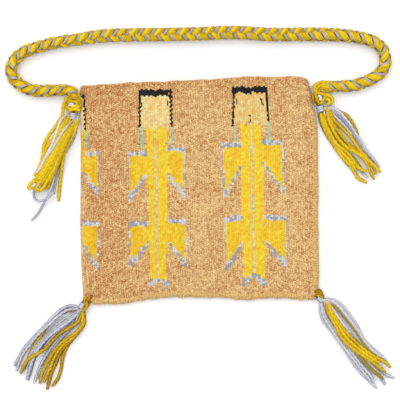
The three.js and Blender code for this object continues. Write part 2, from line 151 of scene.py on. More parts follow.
def tube_mesh(name, tubes, materials, sides=6):
    """One mesh of closed round tubes. Each tube is its path, its radius or radii, its material's place
    in the list, its tint, and the painted shade of each of its points, from 0 to 1, to which more
    painted shade on its sides and its underside adds. The UV map runs round the yarn and along it, in mm."""
    points, faces, coords, slots, tints, painted_shade_levels = [], [], [], [], [], []
    base = 0
    angles = np.arange(sides) * 2 * math.pi / sides
    for path, radius, slot, tint, painted_shade_level in tubes:
        count = len(path)
        across, other = section_frames(path)
        radii = np.broadcast_to(radius, count)[:, None, None]
        ring = np.cos(angles)[:, None] * across[:, None] + np.sin(angles)[:, None] * other[:, None]
        points.append((path[:, None] + radii * ring).reshape(-1, 3))
        along = run_along(path) * 1000
        turn = 2 * math.pi * float(np.mean(radius)) * 1000
        for j in range(count - 1):
            for i in range(sides):
                a, b = base + j * sides + i, base + j * sides + (i + 1) % sides
                faces.append((a, b, b + sides, a + sides))
                u, v = (i / sides * turn, (i + 1) / sides * turn), (along[j], along[j + 1])
                coords += [(u[0], v[0]), (u[1], v[0]), (u[1], v[1]), (u[0], v[1])]
        faces.append(tuple(base + i for i in reversed(range(sides))))
        faces.append(tuple(base + (count - 1) * sides + i for i in range(sides)))
        coords += [(0, 0)] * sides + [(0, along[-1])] * sides
        slots += [slot] * ((count - 1) * sides + 2)
        tints += [tint] * ((count - 1) * sides + 2)
        # Painted shade on the sides and the underside of each yarn, where shade falls between and under
        # yarns.
        lower = np.minimum(SHADE_GROWTH * (SHADE_START - unit(ring)[..., 2]), UNDERSIDE_PAINTED_SHADE)
        painted_shade_levels += np.clip(np.broadcast_to(painted_shade_level, count)[:, None] + lower, 0, 1).ravel().tolist()
        base += count * sides
    mesh = bpy.data.meshes.new(name)
    mesh.from_pydata(np.concatenate(points).tolist(), [], faces)
    mesh.uv_layers.new(name="yarn").uv.foreach_set("vector", np.array(coords, np.float32).ravel())
    return finish_piece(mesh, materials, slots, tints, painted_shade_levels)


def finish_piece(mesh, materials, slots, tints, painted_shade_levels):
    """A smooth-shaded object of the mesh, with a material's place and a tint for each face, and with
    the painted shade of each point, from 0 to 1."""
    for material in materials:
        mesh.materials.append(material)
    mesh.polygons.foreach_set("material_index", np.array(slots, np.int32))
    for kind, domain, values in (("tint", "FACE", tints), ("painted_shade", "POINT", painted_shade_levels)):
        attribute = mesh.attributes.new(kind, "FLOAT", domain)
        attribute.data.foreach_set("value", np.array(values, np.float32))
    mesh.shade_smooth()
    piece = bpy.data.objects.new(mesh.name, mesh)
    scene.collection.objects.link(piece)
    return piece


def linear(hex_colour):
    """The linear values of an sRGB hex colour."""
    values = [int(hex_colour[i:i + 2], 16) / 255 for i in (0, 2, 4)]
    return [v / 12.92 if v <= 0.04045 else ((v + 0.055) / 1.055) ** 2.4 for v in values] + [1]


def add_node(material, kind, inputs=None, **settings):
    """Adds a node with its settings, and with each input as a value or as another node's output."""
    node = material.node_tree.nodes.new(kind)
    for key, value in settings.items():
        setattr(node, key, value)
    for key, value in (inputs or {}).items():
        if isinstance(value, bpy.types.NodeSocket):
            material.node_tree.links.new(value, node.inputs[key])
        else:
            node.inputs[key].default_value = value
    return node


FIBRE_STRETCH = 0.16       # how fast the fibres change along the yarn, beside how fast round it
BASE_SHARE = 0.05          # where the wool's colour starts between dark and light
TINT_SHARE, FIBRE_SHARE = 0.7, 0.6    # and how much its yarn's own tint and its fibres add
BUMP_MM = 0.25             # how far the fibres stand out


def wool(name, dark, light, fibre_mm=0.5, lay=0.7, heather_mm=2.4, heather=1.1, shade=0.65, haze=0.25):
    """Hand-spun wool. The eye sees a matt, slightly hazy yarn whose fibres run round it at a slant,
    and whose dye took unevenly. dark and light are the ends of its colour. fibre_mm is the width of
    the bundles of fibre, drawn coarser than single fibres so that they show, and lay how far they
    slant, as mm round for each mm along. heather_mm is the size of the lighter and darker specks and
    heather how strong they are. shade is how much darker the wool is painted where the mesh gives it
    painted shade, which stands for the shade between and under the yarns, and haze how strong its nap is."""
    material = bpy.data.materials.new(name)
    material.use_nodes = True
    material.node_tree.nodes.clear()

    def times_and_plus(value, factor, added):
        return add_node(
            material, "ShaderNodeMath", {0: value, 1: factor, 2: added}, operation="MULTIPLY_ADD",
        ).outputs[0]

    coords = add_node(material, "ShaderNodeUVMap", uv_map="yarn")
    apart = add_node(material, "ShaderNodeSeparateXYZ", {"Vector": coords.outputs[0]})
    round_it, along_it = apart.outputs["X"], apart.outputs["Y"]
    fibre_place = add_node(
        material, "ShaderNodeCombineXYZ",
        {"X": times_and_plus(along_it, lay, round_it), "Y": times_and_plus(along_it, FIBRE_STRETCH, 0.0)},
    )
    fibres = add_node(
        material, "ShaderNodeTexNoise",
        {"Vector": fibre_place.outputs[0], "Scale": 1 / fibre_mm, "Detail": 3.0, "Roughness": 0.6},
    )
    place = add_node(material, "ShaderNodeTexCoord")
    specks = add_node(
        material, "ShaderNodeTexNoise",
        {"Vector": place.outputs["Object"], "Scale": 1000 / heather_mm, "Detail": 2.0, "Roughness": 0.7},
    )
    tint = add_node(material, "ShaderNodeAttribute", attribute_name="tint")
    painted_shade = add_node(material, "ShaderNodeAttribute", attribute_name="painted_shade")
    share = times_and_plus(tint.outputs["Fac"], TINT_SHARE, BASE_SHARE - heather / 2)
    share = times_and_plus(specks.outputs["Fac"], heather, share)
    share = times_and_plus(fibres.outputs["Fac"], FIBRE_SHARE, share)
    # Painted shade darkens the wool where the mesh gives it.
    share = times_and_plus(painted_shade.outputs["Fac"], -shade, share)
    colour = add_node(
        material, "ShaderNodeMix", {0: share, 6: linear(dark), 7: linear(light)}, data_type="RGBA",
    )
    bump = add_node(
        material, "ShaderNodeBump",
        {"Height": fibres.outputs["Fac"], "Strength": 0.8, "Distance": BUMP_MM / 1000},
    )
    shader = add_node(
        material, "ShaderNodeBsdfPrincipled",
        {
            "Base Color": colour.outputs[2],
            "Roughness": 0.92,
            "Specular IOR Level": 0.25,
            "Sheen Weight": haze,
            "Sheen Roughness": 0.5,
            "Normal": bump.outputs[0],
        },
    )
    add_node(material, "ShaderNodeOutputMaterial", {"Surface": shader.outputs[0]})
    return material


golden_wool = wool("golden_wool_yarn", "8a5200", "ffdc22", heather=0.8, shade=0.85, haze=0.04)
grey_wool = wool("lilac_grey_wool_yarn", "5b5d77", "f9f8ff", heather=0.6, shade=0.8, haze=0.1)

strap_axis = through([(x / 1000, y / 1000, STRAP_HEIGHT) for x, y in STRAP_ROUTE], STRAP_STEP)
strap_run = run_along(strap_axis)
strap_length = float(strap_run[-1])
strap_heading = unit(np.gradient(strap_axis, axis=0))
strap_side = np.cross(strap_heading, [0, 0, 1])

# The braid rolls over by a quarter turn between its ends, so that the left shows one pair of strands,
# the right the other, and the middle the line where they meet.
strap_roll = np.interp(strap_run / strap_length, ROLL_PLACES, ROLLS) * math.pi
fullness = np.interp(strap_run / strap_length, FULL_PLACES, FULLNESS)

# Near the left bend the one pair of strands lies over the other for longer, near the right bend the
# other pair does.
favour = np.interp(strap_run / strap_length, FAVOUR_PLACES, FAVOURS)


def braid_yarn(hand, phase, shift, height):
    """A yarn's path in a strand that turns one way or the other, and the painted shade of its points."""
    turn = hand * 2 * math.pi * (strap_run + shift) / BRAID_PITCH + phase
    over = np.tanh(BRAID_CROSSING * (np.cos(2 * turn) + favour)) / math.tanh(BRAID_CROSSING)
    out = (fullness * (BRAID_MIDDLE + height + hand * BRAID_WAVE * over))[:, None]
    angle = (turn + strap_roll)[:, None]
    path = strap_axis + out * (np.cos(angle) * strap_side + np.sin(angle) * np.array([0, 0, 1.0]))
    path[:, 2] = np.maximum(path[:, 2], STRAP_YARN / 2)
    return path, BRAID_PAINTED_SHADE - UNDER_PAINTED_SHADE * hand * over - height * INNER_PAINTED_SHADE


strap_tubes = []
for hand in (1, -1):
    for phase in (0, math.pi):
        for number, (shift, height) in enumerate(zip(STRAND_PLACES, STRAND_HEIGHTS)):
            slot, size = (YELLOW, STRAP_YARN) if number < GOLDEN_YARNS else (GREY, GREY_YARN)
            path, painted_shade_level = braid_yarn(hand, phase, shift, height)
            darkest, spread = STRAP_TINTS[slot]
            tint = darkest + spread * rng.random()
            # Grey yarns get more painted shade, for the shade in the gaps beside them.
            strap_tubes.append((path, size / 2, slot, tint, painted_shade_level + (GREY_PAINTED_SHADE if slot == GREY else 0)))
strap = tube_mesh("strap_braid", strap_tubes, [golden_wool, grey_wool], sides=6)
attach(strap, "root")
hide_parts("strap")


# The cloth is one tapestry of thick single-spun wool. Only its wefts show, as rows of beads that step
# by half a bead from one warp to the next. It is folded at the left, and its two layers are sewn
# together at the right and along the bottom. All lengths here are in mm.
CLOTH_WIDTH, CLOTH_HEIGHT = 234.7, 213.5
EDGE_HEIGHT = 6.6          # the two layers at the fold and the seams
POCKET_HEIGHT = 6.4        # and how far the front rises over the pocket
TABLE_GAP = 0.4            # under the cloth, for the beads that stand out below it
LAYER = 2.6                # one layer of the cloth
FRONT_WARPS = 100
BEND_STEPS = 4             # half warps in each quarter turn of the fold and of the sewn edge
ROUND_STEPS = 4            # half beads in the quarter turn of the bottom
ROUND_SHARE = 0.94         # how much of that turn they make
BEAD_ROWS = 96
BEAD_RISE, BEAD_FALL, WARP_VALLEY = 0.45, -0.4, -0.5
BEAD_SIZES = (0.5, 1.35)   # the least and the most that a bead rises, as shares of BEAD_RISE
BEAD_TOP = 0.35            # a place higher than this gets no painted shade
RELIEF_SPREAD = 0.05
RIM = 1.3                  # how far the lip of the mouth stands over its last row
RIM_STEPS = 4
RIM_BEAD = 0.25            # and how much farther the bead of each warp does
SEAM_DEPTH = 6.0           # from the sewn edges to the pocket
INNER_ROWS = 13
INNER_BEND = 0.6           # the radius of the pocket's own fold
FLOOR_OPEN = 0.1           # how open the pocket still is at its floor, as a share
# How the outline leaves a plain rectangle: the left side is drawn in towards the bottom and the right
# one towards the top, the mouth rises to the right in a low arch, and the right corners are round.
LEFT_OUT, LEFT_DRAWN, LEFT_CORNER = 0.4, 1.4, 1.5
RIGHT_OUT, RIGHT_DRAWN = 1.2, 5
MOUTH_SLANT, MOUTH_ARCH = 9, 4
TOP_CORNER, BOTTOM_CORNER = 7, 2.5
EDGE_WAVE, FACE_WAVE, TOP_WAVE = 0.45, 0.3, 0.35    # slow waves of the edges, the face and its height
TAN, FIELD, CREAM, BLACK, LINE, GREEN = range(6)
# How far the bottom edge hangs below the middle one and the mouth stands over it, along the width.
BOTTOM_PLACES = [0, 0.18, 0.25, 0.3, 0.36, 0.42, 0.5, 0.6, 0.695, 0.77, 0.86, 0.965, 1]
BOTTOM_HANGS = [7.9, 7.4, 4.4, 2.4, 0.8, 0.5, 1.3, 1.6, 4.2, 1.6, 1.6, 4.2, 3.6]
MOUTH_PLACES = [0, 0.6, 0.69, 0.76, 0.82, 0.9, 1]
MOUTH_RISES = [0, 0, 1.7, 1.6, 0.2, 0.9, 0]


def slow_waves(seed, size, *places):
    """Random waves about so many mm long over the places, mostly between -1 and 1."""
    waves = np.random.default_rng(seed)
    total = 0
    for _ in range(7):
        slopes = waves.normal(size=len(places)) * 2 * math.pi / size
        total = total + np.sin(sum(s * p for s, p in zip(slopes, places)) + waves.uniform(0, 6.3))
    return total / 3


def inside(outline, x, y):
    """Which of the places lie inside an outline."""
    hit = np.zeros(np.shape(x), bool)
    for (x0, y0), (x1, y1) in zip(outline, outline[1:] + outline[:1]):
        if y0 != y1:
            hit ^= ((y0 > y) != (y1 > y)) & (x < (x1 - x0) * (y - y0) / (y1 - y0) + x0)
    return hit


def box(x0, y0, x1, y1):
    """The outline of a rectangle."""
    return [(x0, y0), (x1, y0), (x1, y1), (x0, y1)]


TIP_OUT, TIP_IN = 0.3, 1.2           # how far a wing's grey edge goes past its tip, out and in
APEX_IN, APEX_BELOW = 0.8, 2.4       # and past its apex, in and down


def wing(root, outer, top, bar, tip, apex, grey):
    """One wing of a figure: its grey edges, its yellow field and the grey bar over it. root and
    outer are where it starts and ends across, top its upper edge there and bar the bar's top there.
    tip is its lowest point, apex where its lower edge meets the trunk, and grey how far the grey goes
    below the tip."""
    side = 1 if outer > root else -1
    return [
        (LINE, [
            (root, bar[0]), (outer, bar[1]), (tip[0] + side * TIP_OUT, tip[1] + grey),
            (tip[0] - side * TIP_IN, tip[1] + grey), (apex[0] - side * APEX_IN, apex[1] + APEX_BELOW),
        ]),
        (FIELD, [(root, top[0]), (outer, top[1]), tip, apex]),
        (LINE, [(outer, bar[1]), (tip[0], tip[1] + grey * 0.5)]),
    ]


def mirrored(fields, centre):
    """The fields and their mirror image about a line down the cloth."""
    return fields + [(slot, [(2 * centre - x, y) for x, y in outline]) for slot, outline in fields]


MOUTH_TOP = 111.2          # the mouth's highest point, from the middle of the cloth
TRUNK_MIDDLES = [0, 76, 171]
TRUNK_REACH = 12           # what lies farther from a trunk's middle than this is a wing
FOLDED_MIDDLE = -12        # the middle of the folded figure, past the fold, on the back
SHORT_LINE = 9             # one shorter than this is a single turn of weft, black or not
LINE_REACH = {LINE: 0.63, GREEN: 1.0, BLACK: 0.75}    # from the middle of a line to its edges
BLACK_STEP = 0.6           # and how much farther every second bead of a black one goes

# The coloured fields are wefts of their own, turned back where they meet the tan ones. Each figure's
# are measured across from the fold and down from the mouth's highest point. Two points give a line,
# which is half a warp wide if it is grey.
right_figure = [
    *wing(160, 141.5, (70.7, 70.7), (66.2, 66.2), (143.4, 117), (159.4, 87.6), 5),
    *wing(180, 201.4, (68, 68), (63.5, 63.5), (202.6, 111.8), (181.3, 84), 5),
    *wing(162.5, 143.4, (143.8, 144.8), (139.3, 139.8), (144.9, 187), (161.7, 164), 7),
    *wing(183.5, 205, (142.6, 143.6), (138, 138.6), (204.8, 183.5), (184.9, 163), 8.5),
    (LINE, [(161, 202), (172.8, 194), (185.5, 202), (184.6, 210.5), (180.8, 208), (172.9, 199),
            (165, 207.5), (161.5, 210.5)]),
    (FIELD, [(159.4, 48), (178.6, 48), (181.3, 84), (182.5, 140), (184.9, 163), (184.5, 202.5),
             (173, 194.6), (162.6, 202.5), (161.7, 164), (160.5, 130), (159.4, 87.6)]),
    (BLACK, box(151.6, 10.4, 185.5, 17)),
    (CREAM, [(153.6, 16.7), (184.9, 16.7), (185.6, 30), (186.2, 47), (153.6, 47.3)]),
    (BLACK, [(152.6, 14), (151.7, 49.5)]),
    (BLACK, [(184.6, 13.5), (187.4, 45)]),
    (GREEN, [(153, 49.5), (153.7, 66.2)]),
    (GREEN, [(187.4, 45), (188.2, 67)]),
    (LINE, [(169.7, 48), (173, 195)]),
    (BLACK, [(155.4, 22), (155.6, 28)]),
    (BLACK, [(179.2, 21.6), (181.8, 29)]),
    (BLACK, [(168.2, 38.5), (168.9, 41)]),
    (BLACK, [(169.4, 43), (168.8, 46)]),
]
middle_figure = [
    *wing(66, 48, (79.2, 79.2), (74.6, 74.6), (48.4, 118), (66.5, 95), 6),
    *wing(85.5, 103.3, (74.7, 74.7), (70.2, 70.2), (103.8, 115), (85.7, 94), 6),
    *wing(68.3, 48.6, (149.6, 149.6), (145, 144.6), (49.6, 183.5), (68.3, 164), 7.5),
    *wing(85.8, 105, (146.5, 146.5), (141.6, 141.6), (105, 183.5), (86, 161), 6.5),
    (LINE, [(68, 207), (69.5, 201), (77.2, 198.5), (85.8, 201), (88, 206), (86.5, 211.5), (82.8, 210),
            (80.4, 204), (76.5, 203.4), (71.8, 208), (69.5, 211)]),
    (FIELD, [(64.7, 50.6), (85.7, 50.6), (85.7, 94), (85.6, 146.5), (86, 161), (85.6, 202.5),
             (78.8, 202.5), (77.2, 198.8), (75.5, 201), (69.4, 201), (68.3, 164), (68, 149), (66.5, 95)]),
    (BLACK, box(57.6, 13.2, 88.4, 19.8)),
    (CREAM, box(60.3, 19.5, 89.0, 50.8)),
    (BLACK, [(59.2, 15), (58.9, 50.3)]),
    (BLACK, [(89.8, 12.6), (90.9, 50)]),
    (GREEN, [(61.2, 50.6), (61.8, 71.6)]),
    (GREEN, [(91.2, 50), (91.6, 66)]),
    (LINE, [(74, 50.6), (77, 200)]),
    (BLACK, [(61.6, 26), (61.5, 30)]),
    (BLACK, [(86.6, 24), (87.2, 29)]),
    (LINE, [(75, 42), (75, 47.5)]),
]
folded_half = [
    *wing(3.5, 17.4, (78.7, 78.7), (74.3, 74.3), (17.4, 113.5), (3, 94), 6),
    *wing(0.4, 17.8, (148.7, 148.7), (144.3, 144.3), (16.9, 187), (2.7, 165.7), 7),
    (FIELD, [(FOLDED_MIDDLE, 53), (3.5, 54), (3.5, 92), (-3, 98), (-3, 196), (FOLDED_MIDDLE, 196)]),
    (BLACK, box(FOLDED_MIDDLE, 18, 3.2, 21.4)),
    (CREAM, box(FOLDED_MIDDLE, 21.4, 3.2, 54)),
    (BLACK, [(3.5, 19.8), (4.8, 53.7)]),
    (GREEN, [(5.4, 53.7), (5.8, 69.8)]),
]
folded_figure = mirrored(folded_half, FOLDED_MIDDLE)
folded_figure.append((LINE, [(FOLDED_MIDDLE, 54), (FOLDED_MIDDLE, 190)]))
figure_fields = folded_figure + middle_figure + right_figure

half_ring = 2 * FRONT_WARPS + 2 * BEND_STEPS
ring = 2 * half_ring
ring_index = np.arange(ring)
from_fold = np.minimum(ring_index, ring - ring_index)
fold_turn = np.clip(1 - from_fold / BEND_STEPS, 0, 1) * math.pi / 2
seam_turn = np.clip(1 - (half_ring - from_fold) / BEND_STEPS, 0, 1) * math.pi / 2
layer_side = np.where(ring_index <= half_ring, 1, -1) * np.cos(fold_turn + seam_turn)
straight = np.clip((from_fold - BEND_STEPS) / (2 * FRONT_WARPS), 0, 1)


def cloth_rows(up, drop, shut, margins, bend, low, under):
    """Rows of points round both layers, for how far up each row is, how far it drops below that and
    how far the layers come together there. margins are kept at the fold and the seam, bend is the
    half circle's radius, low the lower layer's height and under how far under the front to stay."""
    up, drop, shut = (np.atleast_1d(v).astype(float)[:, None] for v in (up, drop, shut))
    left = -CLOTH_WIDTH / 2 - LEFT_OUT + LEFT_DRAWN * (1 - up) ** 2
    left = left + LEFT_CORNER * (1 - up) ** 12 + margins[0]
    right = CLOTH_WIDTH / 2 + RIGHT_OUT - RIGHT_DRAWN * up ** 3 - margins[1]
    x = left + bend + straight * (right - left - 2 * bend) + bend * (np.sin(seam_turn) - np.sin(fold_turn))
    across = np.clip(x / CLOTH_WIDTH + 0.5, 0, 1)
    top = CLOTH_HEIGHT / 2 + MOUTH_SLANT * (across - 0.5) + MOUTH_ARCH * across * (1 - across)
    top = top + np.interp(across, MOUTH_PLACES, MOUTH_RISES)
    bottom = -CLOTH_HEIGHT / 2 - np.interp(across, BOTTOM_PLACES, BOTTOM_HANGS)
    corner = across ** 24 * (TOP_CORNER * up ** 16 + BOTTOM_CORNER * (1 - up) ** 16)
    y = bottom + (top - bottom) * up - drop - corner / 2
    x = x - corner
    puff = POCKET_HEIGHT * (1 - np.abs(2 * across - 1) ** 6) * (1 - (1 - up) ** 6)
    high = EDGE_HEIGHT - under + puff + TOP_WAVE * slow_waves(5, 60, x, y) * np.minimum(puff, 1)
    z = (high + low) / 2 + (high - low) / 2 * layer_side * shut
    x = x + EDGE_WAVE * slow_waves(1, 55, y) + FACE_WAVE * slow_waves(2, 38, x, y)
    y = y + EDGE_WAVE * slow_waves(3, 48, x, y)
    return np.stack(np.broadcast_arrays(x, y, z), axis=-1)


round_turn = math.pi / 2 * (1 - np.arange(ROUND_STEPS) / ROUND_STEPS) * ROUND_SHARE
edge_radius = EDGE_HEIGHT / 2
lowest, highest = edge_radius / CLOTH_HEIGHT, 1 - RIM / CLOTH_HEIGHT
rows_up = np.concatenate([np.full(ROUND_STEPS, lowest), np.linspace(lowest, highest, 2 * BEAD_ROWS + 1)])
rows_drop = np.concatenate([edge_radius * np.sin(round_turn), np.zeros(2 * BEAD_ROWS + 1)])
rows_shut = np.concatenate([np.cos(round_turn), np.ones(2 * BEAD_ROWS + 1)])
outer = cloth_rows(rows_up, rows_drop, rows_shut, (0, 0), edge_radius, TABLE_GAP, 0)
inner_up = np.linspace(highest, (SEAM_DEPTH + 1) / CLOTH_HEIGHT, INNER_ROWS)
inner_shut = np.r_[np.ones(INNER_ROWS - 1), FLOOR_OPEN]
inner = cloth_rows(
    inner_up, np.zeros(INNER_ROWS), inner_shut, (LAYER, SEAM_DEPTH), INNER_BEND, TABLE_GAP + LAYER, LAYER,
)

# The beads: warp by warp round the cloth, and pick by pick up it. The edges of the fields are a
# little ragged, as the wefts aren't turned back at the same place each time.
RAGGED_ACROSS, RAGGED_WARP, RAGGED_BEAD = 0.12, 0.35, 0.3
warps = half_ring
outer_rows = len(rows_up)
warp_index = np.arange(warps)
bead_count = outer_rows // 2 + 1
bead_row = np.minimum(2 * np.arange(bead_count)[None, :] + (warp_index % 2)[:, None], outer_rows - 1)
bead_at = outer[bead_row, 2 * warp_index[:, None]]
on_front = (2 * warp_index <= half_ring)[:, None]
bead_across = np.where(on_front, 1, -1) * (bead_at[..., 0] + CLOTH_WIDTH / 2)
bead_down = MOUTH_TOP - bead_at[..., 1]
ragged_across = bead_across + rng.normal(0, RAGGED_ACROSS, bead_across.shape)
ragged_down = bead_down + rng.normal(0, RAGGED_WARP, (warps, 1))
ragged_down = ragged_down + rng.normal(0, RAGGED_BEAD, bead_down.shape)
bead_slot = np.full(bead_across.shape, TAN)
for slot, outline in figure_fields:
    if len(outline) > 2:
        bead_slot[inside(outline, ragged_across, ragged_down)] = slot

# The wool is uneven: bead by bead, row by row and in slow patches. The tint is also darker towards the
# fold, and lighter down the middle and at the right. Painted shade darkens it along the mouth and beside
# the seam, and painted light lightens the turn of the fold low down, where the cloth bends away.
WEFT_TINT = 0.74
BEAD_SPREAD, ROW_SPREAD = 0.18, 0.04
LONG_PATCHES, SHORT_PATCHES = 0.04, 0.03
ROW_RISE = 1.1             # about how far each row lies over the one before
# How much darker or lighter each part is, where it lies, and over how far that fades.
FOLD_SHADE, FOLD_REACH = 0.2, 60
MOUTH_PAINTED_SHADE, MOUTH_REACH = 0.3, 6
LOW_FOLD_PAINTED_LIGHT, LOW_FOLD_FROM, LOW_FOLD_REACH = 0.3, 110, 4
RIGHT_LIGHT, RIGHT_FROM, RIGHT_REACH = 0.05, 185, 20
SEAM_PAINTED_SHADE, SEAM_LINE, SEAM_REACH = 0.12, 228, 5
MIDDLE_LIGHT, MIDDLE_LINE, MIDDLE_REACH = 0.06, 119, 9


def band(middle, width):
    """How near each bead is to a line down the cloth, from 0 to 1."""
    return np.exp(-((bead_across - middle) / width) ** 2)


below_mouth = (outer_rows - 1 - bead_row) * ROW_RISE
bead_tint = (
    WEFT_TINT + rng.normal(0, BEAD_SPREAD, bead_slot.shape) + rng.normal(0, ROW_SPREAD, (1, bead_count))
    + LONG_PATCHES * slow_waves(8, 55, bead_across, bead_down)
    + SHORT_PATCHES * slow_waves(9, 14, bead_across, bead_down)
    - FOLD_SHADE * band(0, FOLD_REACH) - MOUTH_PAINTED_SHADE * np.exp(-below_mouth / MOUTH_REACH)
    + LOW_FOLD_PAINTED_LIGHT * band(0, LOW_FOLD_REACH) * (bead_down > LOW_FOLD_FROM)
    + RIGHT_LIGHT * np.clip((bead_across - RIGHT_FROM) / RIGHT_REACH, 0, 1)
    - SEAM_PAINTED_SHADE * band(SEAM_LINE, SEAM_REACH) + MIDDLE_LIGHT * band(MIDDLE_LINE, MIDDLE_REACH)
)

# The right head is a darker cream and the one at the fold a lighter one, made lighter still with painted
# light where it turns over the fold, and the wings are darker than the trunks. The grey wefts are two
# yarns, one of them nearly white. Here and there a slub, a thick place in the yarn, makes a larger and
# lighter bead.
RIGHT_HEAD_FROM, FOLDED_HEAD_TO = 120, 10
HEAD_SHADE, FOLDED_HEAD_TONE_AND_PAINTED_LIGHT, WING_SHADE = 0.3, 0.4, 0.15
WHITE_SHARE, WHITE_TINT, GREY_TINT = 0.5, 0.85, 0.25
SLUB_SHARE, SLUB_TINT, SLUB_RISE = 0.07, 0.4, 0.4
LIGHTEST = 1.2
bead_tint[(bead_slot == CREAM) & (bead_across > RIGHT_HEAD_FROM)] -= HEAD_SHADE
bead_tint[(bead_slot == CREAM) & (bead_across < FOLDED_HEAD_TO)] += FOLDED_HEAD_TONE_AND_PAINTED_LIGHT
from_trunk = np.min(np.abs(bead_across[..., None] - TRUNK_MIDDLES), axis=-1)
bead_tint[(bead_slot == FIELD) & (from_trunk > TRUNK_REACH)] -= WING_SHADE
white_turns = rng.random(np.sum(bead_slot == LINE)) < WHITE_SHARE
bead_tint[bead_slot == LINE] = np.where(white_turns, WHITE_TINT, GREY_TINT)
slubs = rng.random(bead_slot.shape) < SLUB_SHARE
bead_tint = np.clip(bead_tint + SLUB_TINT * slubs, 0, LIGHTEST)
bead_rise = BEAD_RISE * rng.uniform(*BEAD_SIZES, bead_slot.shape) + SLUB_RISE * slubs

# Each bead's top stands proud of the cloth, and the places between beads and between warps lie low,
# where they get painted shade for the shade that falls between the beads.
relief = WARP_VALLEY + rng.normal(0, RELIEF_SPREAD, (outer_rows, ring))
relief[:, ::2] = BEAD_FALL
bead_cells = (bead_row, np.broadcast_to(2 * warp_index[:, None], bead_row.shape))
np.add.at(relief, bead_cells, bead_rise - BEAD_FALL)
cloth_painted_shade = np.clip((BEAD_TOP - relief) / (BEAD_TOP - WARP_VALLEY), 0, 1)
relief[-1] = 0
along = np.roll(outer, -1, axis=1) - np.roll(outer, 1, axis=1)
outwards = unit(np.cross(along, np.gradient(outer, axis=0)))
outer = outer + relief[..., None] * outwards
rim_turn = (np.arange(RIM_STEPS) + 1)[:, None, None] / (RIM_STEPS + 1) * math.pi
rim = outer[-1] * (1 + np.cos(rim_turn)) / 2 + inner[0] * (1 - np.cos(rim_turn)) / 2
rim = rim + np.sin(rim_turn) * np.array([0, RIM, 0])
rim[:, ::2] += [0, RIM_BEAD, 0]
cloth_points = np.concatenate([outer, rim, inner])
cloth_points[..., 2] = np.maximum(cloth_points[..., 2], 0)

# The faces, each with the colour and the tint of its bead. The yarn's map is in mm, and each bead's
# part of it is shifted, so that beads side by side don't look alike. What faces the pocket is plain, with
# a darker tint and more painted shade, as shade inside the pocket.
MAP_UP, MAP_ROUND = 1.09, 1.14
MAP_SHIFTS = (7.3, 3.1)
MAP_CYCLES = (89, 83)
BEAD_SKIP = 7
INSIDE_TINT, INSIDE_PAINTED_SHADE = 0.3, 0.3


def weft(name, dark, light, heather=1.3):
    """The wool of one colour's weft, whose fibres run along the rows of beads at a slant."""
    return wool(name, dark, light, fibre_mm=0.45, lay=-0.5, heather_mm=1.05, heather=heather, shade=0.45)


row_count = len(cloth_points)
i, j = np.meshgrid(ring_index, np.arange(row_count - 1))
after = (i + 1) % ring
quads = np.stack([j * ring + i, j * ring + after, (j + 1) * ring + after, (j + 1) * ring + i], axis=-1)
face_warp = (i + 1) // 2 % warps
face_bead = np.minimum(np.where(face_warp % 2 == 0, (j + 1) // 2, j // 2), bead_count - 1)
is_outer = j < outer_rows - 1
face_slot = np.where(is_outer, bead_slot[face_warp, face_bead], TAN)
face_tint = np.where(is_outer, bead_tint[face_warp, face_bead], INSIDE_TINT)
middle = (cloth_points[:-1] + cloth_points[1:]) / 2
middle = (middle + np.roll(middle, -1, axis=1)) / 2
face_across = np.where(i <= half_ring, 1, -1) * (middle[..., 0] + CLOTH_WIDTH / 2)
face_down = MOUTH_TOP - middle[..., 1]
for slot, outline in figure_fields:
    if len(outline) == 2:
        (x0, y0), (x1, y1) = outline
        line_x = x0 + (x1 - x0) * (face_down - y0) / (y1 - y0)
        reach = LINE_REACH[LINE if y1 - y0 < SHORT_LINE else slot]
        if slot == BLACK and y1 - y0 >= SHORT_LINE:
            reach = reach + BLACK_STEP * (face_bead % 2)
        near = (np.abs(face_across - line_x) < reach) & (face_down > y0) & (face_down < y1) & is_outer
        face_slot[near] = slot
u = (j + np.array([0, 0, 1, 1])[:, None, None]) * MAP_UP
u = u + MAP_SHIFTS[0] * (face_bead % MAP_CYCLES[0])
v = (i + np.array([0, 1, 1, 0])[:, None, None]) * MAP_ROUND
v = v + MAP_SHIFTS[1] * (face_bead * BEAD_SKIP % MAP_CYCLES[1])
cloth_uv = np.stack([u, v], axis=-1).transpose(1, 2, 0, 3).reshape(-1, 2)

# Two strips from the front to the back close the cloth: one along its bottom edge, the other as the
# floor of the pocket.
crossings = [(a + 1, a, ring - a, ring - a - 1) for a in range(1, half_ring - 1)]
bottom_strip = [(1, 0, ring - 1), *crossings, (half_ring, half_ring - 1, half_ring + 1)]
last = (row_count - 1) * ring
inner_strip = [tuple(last + a for a in reversed(face)) for face in bottom_strip]
cloth_mesh = bpy.data.meshes.new("tapestry_cloth")
cloth_mesh.from_pydata(
    (cloth_points.reshape(-1, 3) / 1000).tolist(), [],
    quads.reshape(-1, 4).tolist() + bottom_strip + inner_strip,
)
strip_corners = sum(len(face) for face in bottom_strip + inner_strip)
cloth_uv = np.concatenate([cloth_uv, np.zeros((strip_corners, 2))]).astype(np.float32)
cloth_mesh.uv_layers.new(name="yarn").uv.foreach_set("vector", cloth_uv.ravel())
strips = len(bottom_strip) + len(inner_strip)
cloth = finish_piece(
    cloth_mesh,
    [
        weft("tan_wool_weft", "ab5d1e", "ffdd9b", heather=3.3),
        weft("yellow_wool_weft", "eaa500", "ffec4c"),
        weft("cream_wool_weft", "e3ab55", "fff5b1"),
        weft("black_wool_weft", "07080a", "2a2a2e"),
        weft("grey_wool_weft", "81818c", "f3f2f5"),
        weft("pale_green_wool_weft", "60a383", "c1efd4"),
    ],
    np.concatenate([face_slot.ravel(), np.full(strips, TAN)]),
    np.concatenate([face_tint.ravel(), np.full(strips, INSIDE_TINT)]),
    np.concatenate([cloth_painted_shade.ravel(), np.full(ring * (row_count - outer_rows), INSIDE_PAINTED_SHADE)]),
)
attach(cloth, "root")
